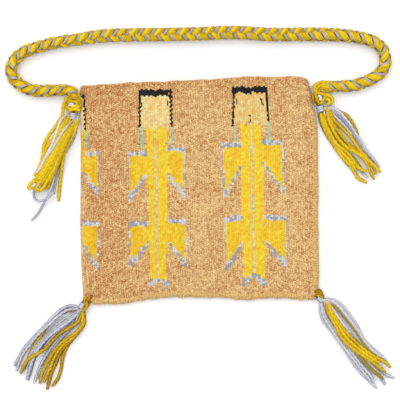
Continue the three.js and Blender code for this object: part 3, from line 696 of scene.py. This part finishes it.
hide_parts("cloth", *[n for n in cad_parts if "_figure_" in n])


# The two sewn edges are oversewn by hand with a golden-tan wool yarn, one slanted stitch close beside
# the other, through both layers and round the edge. All lengths from here to the tassels are in mm.
STITCH_YARN = 2.8
STITCH_PITCH = 2.4
STITCH_RADIUS = 2.8
STITCH_STEP = 0.32         # from one point of the yarn's route to the next
SEAM_LIFT = 3.9            # how high the middle of the stitches lies
SEAM_INSET = 2.2           # and how far in from the edge
SEAM_EVERY = 6             # rows or half warps from one point of a seam's route to the next
SIDE_FIRST, SIDE_LAST = 6, 26        # how many rows the side's sewing keeps from the two ends
BOTTOM_FIRST, BOTTOM_LAST = 10, 6    # and how many half warps the bottom's does


def wound(path, radius, pitch, start=0.0):
    """A yarn that winds round a path, in the path's unit of length."""
    across, other = section_frames(path)
    turn = (run_along(path) / pitch * 2 * math.pi + start)[:, None]
    return path + radius * (np.cos(turn) * across + np.sin(turn) * other)


def sewing(name, edge, replaced):
    """The stitches over an edge, which go round the path that the edge gives."""
    stitches = wound(through(edge, STITCH_STEP), STITCH_RADIUS, STITCH_PITCH)
    stitches[:, 2] = np.maximum(stitches[:, 2], STITCH_YARN / 2)
    thread = wool(name + "_wool_yarn", "b28340", "f9d18c", heather=2.0, shade=0.2)
    tube = (stitches / 1000, STITCH_YARN / 2000, 0, 0.5, 0.2)
    piece = tube_mesh(name, [tube], [thread], sides=6)
    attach(piece, "root")
    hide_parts(replaced)


side_edge = outer[SIDE_FIRST:-SIDE_LAST:SEAM_EVERY, half_ring] + [-SEAM_INSET, 0, 0]
side_edge[:, 2] = SEAM_LIFT
sewing("side_sewing", side_edge, "side_seam")
bottom_edge = outer[0, BOTTOM_FIRST:half_ring - BOTTOM_LAST:SEAM_EVERY] + [0, SEAM_INSET, 0]
bottom_edge[:, 2] = SEAM_LIFT
sewing("bottom_sewing", bottom_edge, "bottom_seam")


# A knot at each end of the strap, at the mouth's two corners: the strap's own yarns, drawn round one
# another. Each yarn that shows in a knot is listed by where it goes. Below the knots and at the bottom
# corners, grey yarn is bound three and a half times round the neck of each tassel.
KNOT_YARN = 3.4
KNOT_CORE_INSET = 0.4      # how far the core lies inside the knot, in widths of the yarn
KNOT_PAINTED_SHADE, KNOT_TOP = 0.5, 16    # painted shade on a yarn that lies on the table, for the shade of the yarns over it, and the height at which it is 1 less
YARN_STEP = 0.5            # from one point of a yarn's route to the next
NECK_YARN = 2.4
NECK_TURNS = 3.5
NECK_CLOSENESS = 0.8       # from one turn of a binding to the next, in widths of the yarn
CORE_END = 0.62            # how far its core goes each way, in lengths of the binding
CORE_GAP = 0.2             # and how far inside the binding it lies
KNOTS = {
    "top_left": [
        (YELLOW, [(-128.8, 92.2, 6), (-132.1, 88.7, 8), (-132.3, 83.7, 8.5), (-130.1, 78.7, 7.5),
            (-125.8, 75.6, 5.5)]),
        (YELLOW, [(-124.3, 90.7, 8), (-119.9, 88.2, 9.5), (-117.9, 83.6, 8.6), (-118.8, 78.9, 7.6),
            (-121.8, 75.6, 5.5)]),
        (YELLOW, [(-120.8, 92.7, 6), (-117.8, 89.6, 6.5), (-116.8, 85.7, 5.5), (-117.8, 81.7, 5)]),
        (YELLOW, [(-129.9, 87.6, 9.5), (-126.8, 89.6, 11), (-122.8, 89.8, 11), (-119.3, 87.8, 9.5)]),
        (YELLOW, [(-128.6, 77.6, 8.5), (-125.3, 78.6, 10.4), (-121.8, 78.6, 10.4), (-118.3, 77.6, 8.4)]),
        (YELLOW, [(-125.9, 80.8, 11), (-122.8, 81.6, 11.6), (-118.9, 81.0, 10)]),
        (YELLOW, [(-122.1, 87.2, 11), (-120.8, 84.2, 11.4), (-121.9, 81.6, 11.6)]),
        (YELLOW, [(-130.4, 84.2, 9), (-128.4, 86.2, 10.4), (-125.4, 86.4, 11), (-122.6, 85.6, 11)]),
        (YELLOW, [(-130.2, 81.2, 8.8), (-128.8, 79.6, 9.6), (-126, 79, 10.4), (-123, 79.6, 10.6)]),
        (GREY, [(-128.2, 82, 10.6), (-126.8, 83.6, 11.4), (-125, 83.2, 11.4), (-125.2, 81.4, 10.8)]),
    ],
    "top_right": [
        # The lowest yarn lies in the gap beside the cloth, where its painted shade stands for the shadow
        # there.
        (YELLOW, [(114.6, 97, 3.6), (114.4, 92.5, 4), (115.2, 87.5, 4), (117.4, 82.5, 3.6)]),
        (GREY, [(122.7, 105.4, 6), (116.8, 103.2, 5.6), (114.3, 99.2, 5), (114.8, 94.8, 4.6)]),
        (YELLOW, [(130.7, 105.0, 9), (123.2, 105.6, 9.4), (117.8, 103.4, 9), (115.5, 99.4, 8),
            (116.3, 95.6, 7.4), (120.0, 94.2, 8)]),
        (YELLOW, [(130.7, 102.2, 11.4), (124.0, 102.8, 11.2), (119.7, 101.0, 10.4), (117.5, 98.0, 9),
            (118.7, 95.2, 8.6), (123.2, 94.0, 8.4)]),
        (YELLOW, [(130.7, 99.2, 11), (125.3, 100.0, 11), (121.5, 98.4, 10.4), (120.0, 96.2, 9.6),
            (122.7, 94.2, 8.6), (127.2, 94.6, 7.4)]),
        (YELLOW, [(130.7, 96.2, 8.4), (126.7, 96.8, 9), (123.7, 95.6, 8.6), (122.7, 93.2, 7.6)]),
        (YELLOW, [(116.3, 95.8, 8.6), (117.3, 91.8, 9.6), (118.7, 87.8, 9.4), (120.5, 83.8, 7.4)]),
        (YELLOW, [(119.7, 94.8, 9.6), (124.3, 93.6, 10.4), (126.8, 91.2, 10), (124.7, 87.8, 9.6),
            (122.0, 84.2, 7.6)]),
        (YELLOW, [(125.0, 93.6, 9.4), (129.7, 92.4, 9), (133.3, 89.6, 7.6), (133.5, 85.8, 6),
            (130.7, 83.6, 4.4)]),
        (YELLOW, [(124.8, 88.8, 8.6), (128.5, 89.0, 8.6), (130.8, 86.8, 7.4), (129.0, 83.8, 5.6)]),
        (YELLOW, [(128.3, 84.6, 3.4), (131.5, 87.6, 4), (130.0, 91.2, 4.6), (125.7, 92.2, 4)]),
        (YELLOW, [(124.6, 91.4, 6.4), (127.6, 90.2, 7.2), (130.2, 88.8, 7), (130.6, 86.2, 5.4)]),
        (GREY, [(120.0, 92.6, 8.6), (121.8, 90.2, 9.4), (121.5, 87.4, 9)]),
        (GREY, [(118.0, 92.2, 6.4), (120.0, 88.6, 7), (122.3, 85.2, 6.4)]),
    ],
}
# How each neck lies: its heading, the radius of its binding and how far it is off to its right.
NECKS = {
    "top_left": (-98, 3.1, 0), "top_right": (-75, 3.1, 0),
    "bottom_left": (-128, 2.0, 1.6), "bottom_right": (-40, 2.0, 0),
}


def ball(centre, size):
    """The core of a knot, as a tube whose radius swells and shrinks along its height."""
    t = np.sin(np.linspace(-1, 1, 11) * math.pi / 2 * 0.97)
    path = centre + np.outer(t * size[2], [0, 0, 1])
    return path, size[0] * np.sqrt(1 - t ** 2)


def middle_of(node):
    """The middle of a node's box and half its size, in mm."""
    low, high = (np.array(c) * 1000 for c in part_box(node))
    return (low + high) / 2, (high - low) / 2


for corner, turns in KNOTS.items():
    centre, size = middle_of(corner + "_knot")
    path, swell = ball(centre, size - KNOT_YARN * KNOT_CORE_INSET)
    tubes = [(path / 1000, swell / 1000, YELLOW, 0.3, 0.1)]
    for slot, places in turns:
        # A lower yarn gets more painted shade, for the shade of the yarns over it.
        painted_shade_level = KNOT_PAINTED_SHADE - places[1][2] / KNOT_TOP
        tubes.append((through(places, YARN_STEP) / 1000, KNOT_YARN / 2000, slot, rng.random(), painted_shade_level))
    knot = tube_mesh(corner + "_wrapped_knot", tubes, [golden_wool, grey_wool], sides=8)
    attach(knot, "root")
    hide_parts(corner + "_knot")

for corner, (degrees, radius, right_by) in NECKS.items():
    heading = np.array([math.cos(math.radians(degrees)), math.sin(math.radians(degrees)), 0])
    centre = middle_of(corner + "_tassel_neck")[0] + right_by * np.array([heading[1], -heading[0], 0])
    length = NECK_TURNS * NECK_YARN * NECK_CLOSENESS
    axis = centre + np.outer(np.linspace(-0.5, 0.5, 60) * length, heading)
    core = centre + np.outer(np.linspace(-CORE_END, CORE_END, 9) * length, heading)
    binding = wound(axis, radius, NECK_YARN * NECK_CLOSENESS, start=1.0)
    # The core shows only between the turns of the binding, and is drawn dark there, with painted shade for
    # the shade inside the binding.
    tubes = [
        (binding / 1000, NECK_YARN / 2000, 0, 0.6, 0.1),
        (core / 1000, (radius - CORE_GAP) / 1000, 0, 0.2, 0.8),
    ]
    neck = tube_mesh(corner + "_neck_binding", tubes, [grey_wool], sides=10)
    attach(neck, "root")
    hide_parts(corner + "_tassel_neck")


# Each bottom tassel is tied through its corner of the cloth with a doubled golden wool yarn, knotted
# over the edge. Its strands are listed by where they go.
TIE_YARN = 2.7
TIES = {
    "bottom_left_tie": [
        [(-105.6, -106.8, 5.5), (-107.6, -108.4, 8.2), (-110.2, -111.0, 8.3), (-111.6, -114.0, 7.6),
         (-113.0, -118.0, 6.4), (-115.2, -120.6, 5.6)],
        [(-110.0, -107.2, 4.6), (-112.2, -109.0, 6.2), (-113.4, -112.0, 7.0), (-112.6, -115.6, 7.4),
         (-112.2, -119.4, 6.0), (-114.6, -121.2, 4.8)],
        [(-114.6, -112.6, 3.4), (-112.6, -110.8, 6.6), (-109.6, -110.6, 8.6), (-108.4, -113.2, 6.4),
         (-109.8, -116.6, 5.0), (-112.4, -119.2, 4.6)],
        [(-111.0, -108.0, 2.4), (-113.0, -113.0, 2.6), (-114.4, -119.6, 3.6)],
        [(-111.4, -112.4, 7.4), (-110.8, -116.4, 8.4), (-112.2, -119.8, 8.2), (-115.0, -122.2, 7.4)],
    ],
    "bottom_right_tie": [
        [(116.0, -103.6, 6.0), (118.0, -102.6, 8.4), (121.2, -103.2, 8.2), (123.6, -106.2, 7.0),
         (124.4, -109.4, 5.8)],
        [(115.4, -106.4, 4.8), (118.4, -106.8, 7.6), (121.8, -107.6, 7.6), (124.8, -110.0, 6.0)],
        [(117.2, -107.4, 3.0), (117.6, -104.2, 7.4), (120.0, -101.4, 5.6), (122.6, -103.0, 3.4),
         (124.0, -108.0, 3.8)],
        [(117.0, -105.0, 2.4), (121.0, -107.0, 2.4), (125.4, -110.6, 3.6)],
        [(116.6, -105.2, 6.4), (119.4, -105.0, 8.2), (122.4, -105.4, 7.4), (124.2, -108.4, 6.2)],
    ],
}
for name, yarns in TIES.items():
    tubes = []
    for places in yarns:
        tubes.append((through(places, YARN_STEP) / 1000, TIE_YARN / 2000, YELLOW, 0.5 * rng.random(), 0.15))
    tie = tube_mesh(name + "_yarns", tubes, [golden_wool], sides=8)
    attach(tie, "root")
    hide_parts(name)


# The tassels are bunches of two-ply hand-spun wool yarn, golden and grey, with a few of a duller olive
# gold, bound at the neck and fanned out on the table. The olive gold is drawn dark, partly as its own
# colour and partly as painted shade. Some golden ones end in a loop. The yarns are listed from the
# lowest to the highest, by where each goes on the table.
TASSEL_YARN = 4.1
PLY = 1.62                 # one ply's radius
PLY_PITCH = 10
NECK_SPREAD = 2.6          # how far the yarns lie from the middle of the neck
NEAR_NECK = 14             # a yarn listed from farther off than this doesn't come out of the neck
SIDE_BY_SIDE = 14          # two yarns of one colour that end nearer than this may have one between them
FREE_RUN = 20              # past this far from the neck they lie on the table and on each other
SQUASH = 0.75              # how much of its height a yarn keeps under another
TOUCH = 0.92               # how near two yarns' middles come side by side, in widths of the yarn
STEEPEST = 0.4             # how steeply a yarn comes down from the ones under it
SMOOTH = 3                 # points each way that a yarn's height is evened out over
SETTLED = 0.6              # a yarn carries others where it is at least this free of the neck
NECK_PULL, OWN_PULL = 0.8, 0.2    # it leaves the neck between the middle of that and its own first point
NECK_FLATNESS = 0.8
NECK_ROLL = 2.4            # how far round the neck each yarn lies from the one before, in radians
ROUTE_STEP = 1.5           # from one point of a yarn's route to the next
BETWEEN_STEP, BETWEEN_POINTS = 1.0, 8    # for a yarn that is laid between two others
PLY_STEP = 1.1             # and of a ply's
NECK_SHARE, FREE_SHARE = 0.72, 0.28    # how full a yarn is at the neck, and what it gains when free
FRAYED, FRAYED_POINTS = 0.75, 4      # how full it is at its very end, and over how many points
THIN_LIFT, LIFT_FROM = 2.5, 4        # a thin grey yarn is raised where it lies on others, over this height
TINT_LOW, TINT_SPREAD = 0.2, 0.6
HEAP_PAINTED_SHADE, HEAP_TOP = 0.3, 26    # painted shade on a yarn that lies on the table, for the shade of the yarns over it, and the height at which it is 1 less
HEAP = 17                  # the height that a heap of any number of yarns comes near
GOLD, GREY_PLY, OLIVE = 0, 1, 2
TOP_LEFT = [
    (GREY_PLY, [(-119.1, 71.1), (-121.2, 61.3), (-125.5, 47.1), (-132.6, 35.6), (-137.6, 22.8),
        (-141.9, 9.9), (-144.3, -7.2)]),
    (GREY_PLY, [(-120.5, 71.1), (-122.6, 59.9), (-128.3, 45.6), (-135.5, 34.2), (-139.8, 21.3),
        (-144.8, 8.5), (-146.6, -5.1)]),
    (GREY_PLY, [(-121.5, 71.1), (-125.5, 57.1), (-132.6, 42.8), (-138.3, 31.3), (-142.6, 18.5),
        (-146.6, 5.6), (-148.8, -5.1)]),
    (GREY_PLY, [(-121.9, 69.9), (-128.3, 52.8), (-136.9, 35.6), (-141.9, 18.5), (-145.5, 4.2),
        (-151.2, -10.1), (-156.2, -18.7), (-161.2, -26.5), (-166.9, -32.2)]),
    (GREY_PLY, [(-122.6, 69.9), (-131.2, 51.3), (-139.8, 35.6), (-147.6, 19.9), (-158.3, 7.1),
        (-164.1, -2.2), (-163.3, -10.1), (-159.8, -12.7), (-151.9, -10.8), (-144.1, -4.4)]),
    (GOLD, [(-120.5, 69.9), (-122.9, 58.5), (-128.3, 47.1), (-133.3, 35.6), (-135.8, 24.2), (-137.6, 9.9),
        (-139.1, -4.4), (-139.8, -14.4)]),
    (GOLD, [(-121.9, 69.2), (-124.8, 58.5), (-130.5, 45.6), (-135.5, 32.8), (-140.5, 22.8), (-145.5, 11.3),
        (-151.9, -1.5)]),
    (GOLD, [(-125.5, 69.9), (-129.1, 59.9), (-136.2, 44.2), (-141.5, 29.9), (-146.6, 17.1), (-152.6, 5.6),
        (-156.2, 0.6)]),
    (GOLD, [(-129.1, 72.1), (-132.9, 59.9), (-139.8, 47.1), (-146.2, 34.2), (-152.6, 22.8), (-157.6, 12.8),
        (-163.3, 5.6)]),
    (GOLD, [(-122.3, 69.9), (-126.6, 55.6), (-132.6, 41.3), (-137.2, 29.9), (-142.3, 18.5), (-147.2, 7.1),
        (-150.1, -0.8)]),
    (GOLD, [(-124.1, 69.9), (-128.1, 57.1), (-134.1, 44.2), (-138.3, 32.8), (-143.3, 21.3), (-149.1, 9.9),
        (-155.5, -0.8), (-160.5, -2.7), (-161.5, 0.6), (-158.3, 4.2)]),
    (GOLD, [(-126.9, 70.6), (-131.2, 58.5), (-139.1, 42.8), (-144.1, 29.9), (-150.5, 18.5), (-158.3, 5.6),
        (-160.5, -0.8), (-158.3, -2.2)]),
    (GOLD, [(-128.3, 71.3), (-134.1, 61.3), (-140.9, 49.9), (-145.2, 39.9), (-150.5, 28.5), (-156.2, 17.1),
        (-162.6, 8.5), (-167.6, 3.5), (-169.1, 1.1), (-166.9, -0.8), (-163.3, 2.1)]),
    (GOLD, [(-130.5, 73.5), (-135.5, 62.8), (-144.1, 49.9), (-151.2, 39.9), (-155.5, 27.1), (-159.8, 17.1),
        (-164.1, 11.3)]),
    (GOLD, [(-130.5, 90.6), (-134.3, 82.8), (-135.2, 73.5), (-141.9, 61.3), (-149.1, 51.3), (-153.3, 42.8),
        (-154.3, 32.8), (-156.2, 24.2)]),
    (GREY_PLY, [(-128.1, 73.5), (-132.9, 71.9), (-137.2, 66.3), (-140.9, 56.3), (-145.2, 44.2),
        (-152.1, 30.6), (-158.3, 18.5), (-162.3, 14.5)]),
    (GREY_PLY, [(-123.3, 70.6), (-128.3, 64.2), (-135.5, 54.9), (-140.9, 45.6), (-147.6, 35.6),
        (-153.8, 27.1)]),
]
TOP_RIGHT = [
    (GOLD, [(132.9, 78.8), (141.7, 75.9), (148.2, 72.6), (153.2, 66.3), (156.9, 59.2), (159.4, 53.2)]),
    (GREY_PLY, [(124.2, 78.2), (131.7, 60.7), (142.9, 45.7), (154.2, 28.2), (162.9, 16.9), (169.8, 9.4)]),
    (GREY_PLY, [(130.4, 78.8), (137.9, 70.7), (146.7, 61.9), (154.2, 51.9), (159.2, 41.9), (166.7, 31.9),
        (173.5, 25.7)]),
    (GREY_PLY, [(130.7, 79.7), (139.2, 73.2), (147.3, 65.7), (153.2, 57.6), (158.5, 47.6), (164.8, 36.9),
        (172.3, 28.2), (176.7, 24.4)]),
    (GREY_PLY, [(131.0, 80.9), (139.2, 77.2), (145.7, 70.7), (151.9, 62.9), (156.9, 54.4), (162.9, 45.4),
        (168.2, 36.7), (174.4, 29.2), (180.7, 20.7)]),
    (OLIVE, [(120.4, 76.9), (121.3, 69.0), (125.2, 59.2), (131.3, 49.0), (138.1, 38.9), (144.5, 30.4),
        (150.6, 21.9)]),
    (GOLD, [(129.8, 78.2), (135.4, 68.2), (143.5, 60.1), (151.7, 51.7), (156.9, 44.2), (161.7, 36.9),
        (169.8, 29.4)]),
    (GOLD, [(128.5, 78.2), (133.5, 66.9), (139.8, 55.7), (147.3, 46.9), (156.7, 38.2), (166.7, 28.2),
        (174.8, 20.7), (177.3, 12.6)]),
    (GOLD, [(127.3, 78.2), (132.3, 66.9), (142.3, 53.2), (151.7, 41.9), (160.4, 33.2), (167.9, 24.4),
        (171.7, 15.7), (175.4, 8.8)]),
    (GOLD, [(122.3, 76.9), (123.2, 67.8), (127.6, 56.1), (134.9, 44.1), (143.0, 32.1), (150.5, 23.8),
        (155.6, 16.5), (159.4, 10.2), (163.8, 7.9), (169.8, 5.0)]),
    (GOLD, [(124.8, 78.2), (125.7, 68.2), (131.0, 55.1), (137.9, 43.8), (147.7, 36.7), (154.2, 28.2),
        (158.5, 21.9), (164.2, 17.9), (167.7, 17.6)]),
    (GOLD, [(128.2, 80.4), (129.4, 70.7), (133.9, 58.8), (140.2, 48.8), (147.9, 40.9), (156.7, 35.7),
        (165.4, 30.4), (174.2, 23.2), (181.7, 15.9)]),
]
BOTTOM_LEFT = [
    (GOLD, [(-120.3, -120.4), (-132.2, -122.9), (-141.0, -127.6), (-149.1, -136.1), (-159.1, -149.8),
        (-166.6, -162.3), (-171.6, -173.6)]),
    (GREY_PLY, [(-120.3, -122.3), (-127.8, -127.3), (-137.8, -136.1), (-149.1, -148.6), (-156.6, -158.6),
        (-163.5, -169.8), (-167.2, -181.1), (-170.3, -191.7)]),
    (GREY_PLY, [(-119.7, -124.8), (-125.3, -133.6), (-134.1, -143.6), (-141.6, -152.3), (-149.1, -162.3),
        (-155.3, -172.3), (-159.7, -182.3), (-164.7, -196.1)]),
    (GREY_PLY, [(-119.1, -125.4), (-124.1, -136.1), (-132.8, -145.4), (-141.0, -154.8), (-147.2, -164.8),
        (-152.8, -174.8), (-157.6, -182.3), (-161.0, -191.1)]),
    (GOLD, [(-113.8, -125.4), (-115.3, -134.8), (-123.5, -147.9), (-131.0, -157.9), (-135.3, -168.6),
        (-137.2, -179.8), (-140.3, -189.8), (-146.0, -197.9)]),
    (GOLD, [(-114.6, -125.4), (-113.8, -134.2), (-121.6, -146.1), (-131.6, -156.1), (-137.8, -163.8),
        (-142.2, -174.2), (-147.2, -186.1), (-151.3, -202.3)]),
    (GOLD, [(-115.3, -125.4), (-116.6, -137.3), (-125.3, -148.6), (-135.3, -156.1), (-143.5, -167.9),
        (-148.5, -180.4), (-152.8, -189.8), (-154.7, -195.4)]),
    (GOLD, [(-115.8, -124.8), (-113.8, -132.6), (-120.3, -142.3), (-130.3, -149.8), (-139.1, -156.7),
        (-146.6, -166.3), (-152.8, -177.6), (-156.6, -186.3), (-158.1, -194.8)]),
    (GREY_PLY, [(-119.7, -118.6), (-127.2, -117.1), (-136.3, -120.8), (-146.3, -129.8), (-155.3, -139.6),
        (-165.1, -149.6), (-174.1, -160.1), (-179.7, -169.8), (-184.1, -177.3)]),
    (GREY_PLY, [(-119.3, -120.1), (-130.1, -121.3), (-140.1, -127.9), (-150.1, -137.1), (-160.1, -146.3),
        (-168.8, -157.1), (-176.3, -167.9), (-182.2, -183.8)]),
    (GREY_PLY, [(-118.8, -122.1), (-127.8, -127.1), (-137.6, -133.3), (-146.3, -141.1), (-155.1, -150.1),
        (-162.6, -158.8), (-169.7, -170.1), (-174.3, -179.8), (-179.3, -186.1)]),
    (GREY_PLY, [(-118.5, -123.6), (-125.3, -129.8), (-135.1, -137.1), (-143.8, -143.6), (-151.3, -150.1),
        (-159.7, -160.4), (-164.7, -169.8), (-168.5, -181.1), (-171.6, -192.3)]),
    (GOLD, [(-116.6, -124.2), (-119.7, -132.9), (-129.7, -139.6), (-137.8, -144.8), (-146.6, -153.6),
        (-154.1, -161.1), (-162.6, -166.1), (-170.3, -171.3), (-177.8, -185.1)]),
]
BOTTOM_RIGHT = [
    (GREY_PLY, [(122.0, -115.6), (121.7, -121.8), (124.5, -131.8), (133.9, -143.3), (143.9, -157.1),
        (151.4, -169.3), (160.2, -181.8), (170.2, -191.8), (177.9, -199.6)]),
    (GREY_PLY, [(123.9, -114.3), (126.4, -126.8), (136.4, -141.8), (145.2, -154.3), (153.9, -165.6),
        (162.7, -176.8), (170.8, -185.8), (175.8, -194.9)]),
    (GREY_PLY, [(127.7, -114.3), (137.7, -131.8), (147.7, -149.3), (158.9, -163.1), (170.2, -174.3),
        (178.9, -184.3), (186.7, -196.2)]),
    (OLIVE, [(127.7, -114.3), (136.4, -134.3), (148.9, -153.1), (161.4, -168.1), (170.2, -178.1),
        (176.4, -183.7), (185.4, -190.8)]),
    (GREY_PLY, [(128.9, -114.3), (141.4, -131.8), (153.9, -148.1), (166.4, -163.1), (178.9, -178.1),
        (187.7, -186.2), (197.0, -189.9)]),
    (GREY_PLY, [(131.4, -110.8), (138.9, -113.3), (146.7, -120.6), (152.9, -129.3), (159.2, -138.3),
        (162.9, -147.1), (169.2, -155.8), (177.9, -163.3), (187.9, -172.1)]),
    (GREY_PLY, [(130.4, -112.8), (136.7, -116.8), (142.9, -124.6), (149.5, -133.1), (156.7, -142.1),
        (164.2, -151.8), (173.9, -161.8), (182.7, -170.6)]),
    (OLIVE, [(130.2, -113.1), (137.7, -118.3), (145.2, -126.8), (151.4, -134.3), (157.9, -143.3),
        (164.2, -153.1), (172.7, -164.3)]),
    (GREY_PLY, [(130.8, -111.8), (137.7, -115.6), (145.2, -123.7), (152.0, -132.4), (158.3, -140.6),
        (163.9, -149.3), (171.4, -159.3), (181.4, -168.1)]),
    (GREY_PLY, [(122.7, -114.9), (122.9, -119.6), (125.4, -128.3), (132.9, -140.8), (140.4, -152.1),
        (149.2, -163.3), (156.7, -173.3), (165.4, -184.6), (172.7, -193.1)]),
    (GOLD, [(129.9, -114.9), (133.9, -124.1), (140.4, -134.3), (147.9, -144.3), (156.7, -153.3),
        (165.4, -160.8), (175.8, -167.8), (187.0, -174.1), (192.7, -179.9)]),
    (GOLD, [(126.4, -114.3), (129.9, -124.3), (136.2, -135.8), (141.7, -147.1), (150.4, -157.1),
        (160.4, -164.6), (170.4, -170.8), (180.4, -178.3), (187.7, -184.6)]),
]
# Each tassel's yarns, how light their wool is drawn, partly as painted light and shade on the whole
# tassel, how thick the grey ones are, and how far apart two yarns end if one more lies between them.
TASSELS = {
    "top_left": (TOP_LEFT, 0.1, 0.62, 5), "top_right": (TOP_RIGHT, 0.17, 0.8, 5),
    "bottom_left": (BOTTOM_LEFT, -0.04, 0.9, 8), "bottom_right": (BOTTOM_RIGHT, 0.24, 0.9, 5),
}
# Its dark colour is partly the yarn's own and partly painted shade.
olive_wool = wool("olive_gold_wool_yarn", "51480a", "b09a2b")


def filled(yarns, nearest):
    """The list with one more yarn between two of one colour that lie side by side."""
    full = []
    for (slot, places), (next_slot, next_places) in zip(yarns, yarns[1:]):
        full.append((slot, places))
        apart = math.dist(places[-1], next_places[-1])
        if slot == next_slot and nearest < apart < SIDE_BY_SIDE:
            lines = (places, next_places)
            paths = [through([(x, y, 0) for x, y in line], BETWEEN_STEP) for line in lines]
            share = np.linspace(0, 1, BETWEEN_POINTS)
            ends = [[np.interp(share, np.linspace(0, 1, len(q)), q[:, k]) for k in (0, 1)] for q in paths]
            middle = (np.array(ends[0]) + np.array(ends[1])) / 2
            full.append((slot, [(float(x), float(y)) for x, y in middle.T[:-1]]))
    return full + yarns[-1:]


def heaped(yarns, neck):
    """The yarns' paths with heights, each resting on the table and on the ones before it."""
    placed = np.zeros((0, 3))
    heaps = []
    for number, places in enumerate(yarns):
        if math.dist(places[0], neck[:2]) < NEAR_NECK:
            places = [tuple(neck[:2] * NECK_PULL + np.array(places[0]) * OWN_PULL), *places]
        path = through([(x, y, 0) for x, y in places], ROUTE_STEP)
        run = np.linspace(0, ROUTE_STEP * (len(path) - 1), len(path))
        rest = np.full(len(path), TASSEL_YARN / 2)
        if len(placed):
            gap = np.hypot(path[:, None, 0] - placed[None, :, 0], path[:, None, 1] - placed[None, :, 1])
            reach = TASSEL_YARN * TOUCH
            top = placed[None, :, 2] + SQUASH * np.sqrt(np.clip(reach ** 2 - gap ** 2, 0, None))
            rest = np.maximum(rest, np.where(gap < reach, top, 0).max(axis=1))
        rest = (rest[None, :] - STEEPEST * np.abs(run[:, None] - run[None, :])).max(axis=1)
        evening = np.ones(2 * SMOOTH + 1) / (2 * SMOOTH + 1)
        rest = np.convolve(np.pad(rest, SMOOTH, mode="edge"), evening, mode="valid")
        start = neck[2] + NECK_SPREAD * math.sin(number * NECK_ROLL) * NECK_FLATNESS
        free = np.clip(np.hypot(path[:, 0] - neck[0], path[:, 1] - neck[1]) / FREE_RUN, 0, 1)
        free = free ** 2 * (3 - 2 * free)
        rest = rest * free + start * (1 - free)
        path[:, 2] = rest
        placed = np.vstack([placed, path[free > SETTLED]])
        path[:, 2] = np.maximum(HEAP * (1 - np.exp(-rest / HEAP)), TASSEL_YARN / 2)
        heaps.append((path.copy(), free))
    return heaps


for corner, (yarns, tone, grey_size, nearest) in TASSELS.items():
    yarns = filled(yarns, nearest)
    neck, _ = middle_of(corner + "_tassel_neck")
    heaps = heaped([places for _, places in yarns], neck)
    pieces = {"yellow": [], "grey": []}
    for (slot, _), (path, free) in zip(yarns, heaps):
        fine = through(path[::2], PLY_STEP)
        along_fine, along_free = (np.linspace(0, 1, len(line)) for line in (fine, free))
        full = np.interp(along_fine, along_free, NECK_SHARE + FREE_SHARE * free)
        fray = np.clip(np.arange(len(fine))[::-1] / FRAYED_POINTS, FRAYED, 1)
        tint = tone + TINT_LOW + TINT_SPREAD * rng.random()
        if slot == GREY_PLY:
            full = full * grey_size
            fine[:, 2] += THIN_LIFT * (1 - grey_size) * np.clip(fine[:, 2] - LIFT_FROM, 0, 1)
        for start in (0, math.pi):
            ply = wound(fine, (TASSEL_YARN / 2 - PLY) * full[:, None], PLY_PITCH, start)
            ply[:, 2] = np.maximum(ply[:, 2], PLY * full * fray)
            # A lower yarn in the heap gets more painted shade, for the shade of the yarns over it.
            painted_shade_level = HEAP_PAINTED_SHADE - fine[:, 2] / HEAP_TOP
            kind = "grey" if slot == GREY_PLY else "yellow"
            pieces[kind].append((ply / 1000, PLY * full * fray / 1000, slot, tint, painted_shade_level))
    for kind, tubes in pieces.items():
        bunch = tube_mesh(f"{corner}_{kind}_bunch", tubes, [golden_wool, grey_wool, olive_wool], sides=7)
        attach(bunch, "root")
        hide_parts(f"{corner}_{kind}_yarns")


# The table top is painted matt white, which gives an even ground with soft shadows. Daylight comes
# evenly from all round, with more of it from over the mouth and a little to the left.
TABLE_SIZE = 6.0
TABLE_DROP = 0.0002        # so that nothing lies in the table's own plane
TABLE_GLOW = 0.14          # to the camera alone, so that only the deeper shadows show on the white
DAYLIGHT, WINDOW_LIGHT = 0.62, 1.4
table_mesh = bpy.data.meshes.new("table_top")
half = TABLE_SIZE / 2
corners = [(x * half, y * half, -TABLE_DROP) for x, y in ((-1, -1), (1, -1), (1, 1), (-1, 1))]
table_mesh.from_pydata(corners, [], [(0, 1, 2, 3)])
table_top = bpy.data.objects.new("table_top", table_mesh)
scene.collection.objects.link(table_top)
white_paint = bpy.data.materials.new("matt_white_paint")
white_paint.use_nodes = True
white_paint.node_tree.nodes.clear()
ray = add_node(white_paint, "ShaderNodeLightPath")
glow = add_node(
    white_paint, "ShaderNodeMath",
    {0: ray.outputs["Is Camera Ray"], 1: TABLE_GLOW}, operation="MULTIPLY",
)
paint = add_node(
    white_paint, "ShaderNodeBsdfPrincipled",
    {
        "Base Color": linear("fcfdff"),
        "Roughness": 0.9,
        "Specular IOR Level": 0.0,
        "Emission Color": (1, 1, 1, 1),
        "Emission Strength": glow.outputs[0],
    },
)
add_node(white_paint, "ShaderNodeOutputMaterial", {"Surface": paint.outputs[0]})
table_mesh.materials.append(white_paint)

daylight = bpy.data.worlds.new("daylight")
scene.world = daylight
daylight.use_nodes = True
daylight.node_tree.nodes["Background"].inputs["Color"].default_value = (1, 1, 1, 1)
daylight.node_tree.nodes["Background"].inputs["Strength"].default_value = DAYLIGHT
window = bpy.data.lights.new("window", "SUN")
window.energy = WINDOW_LIGHT
window.angle = math.radians(60)
window_light = bpy.data.objects.new("window", window)
window_light.rotation_euler = (math.radians(-22), math.radians(-10), 0)
scene.collection.objects.link(window_light)

scene.view_settings.view_transform = "Standard"
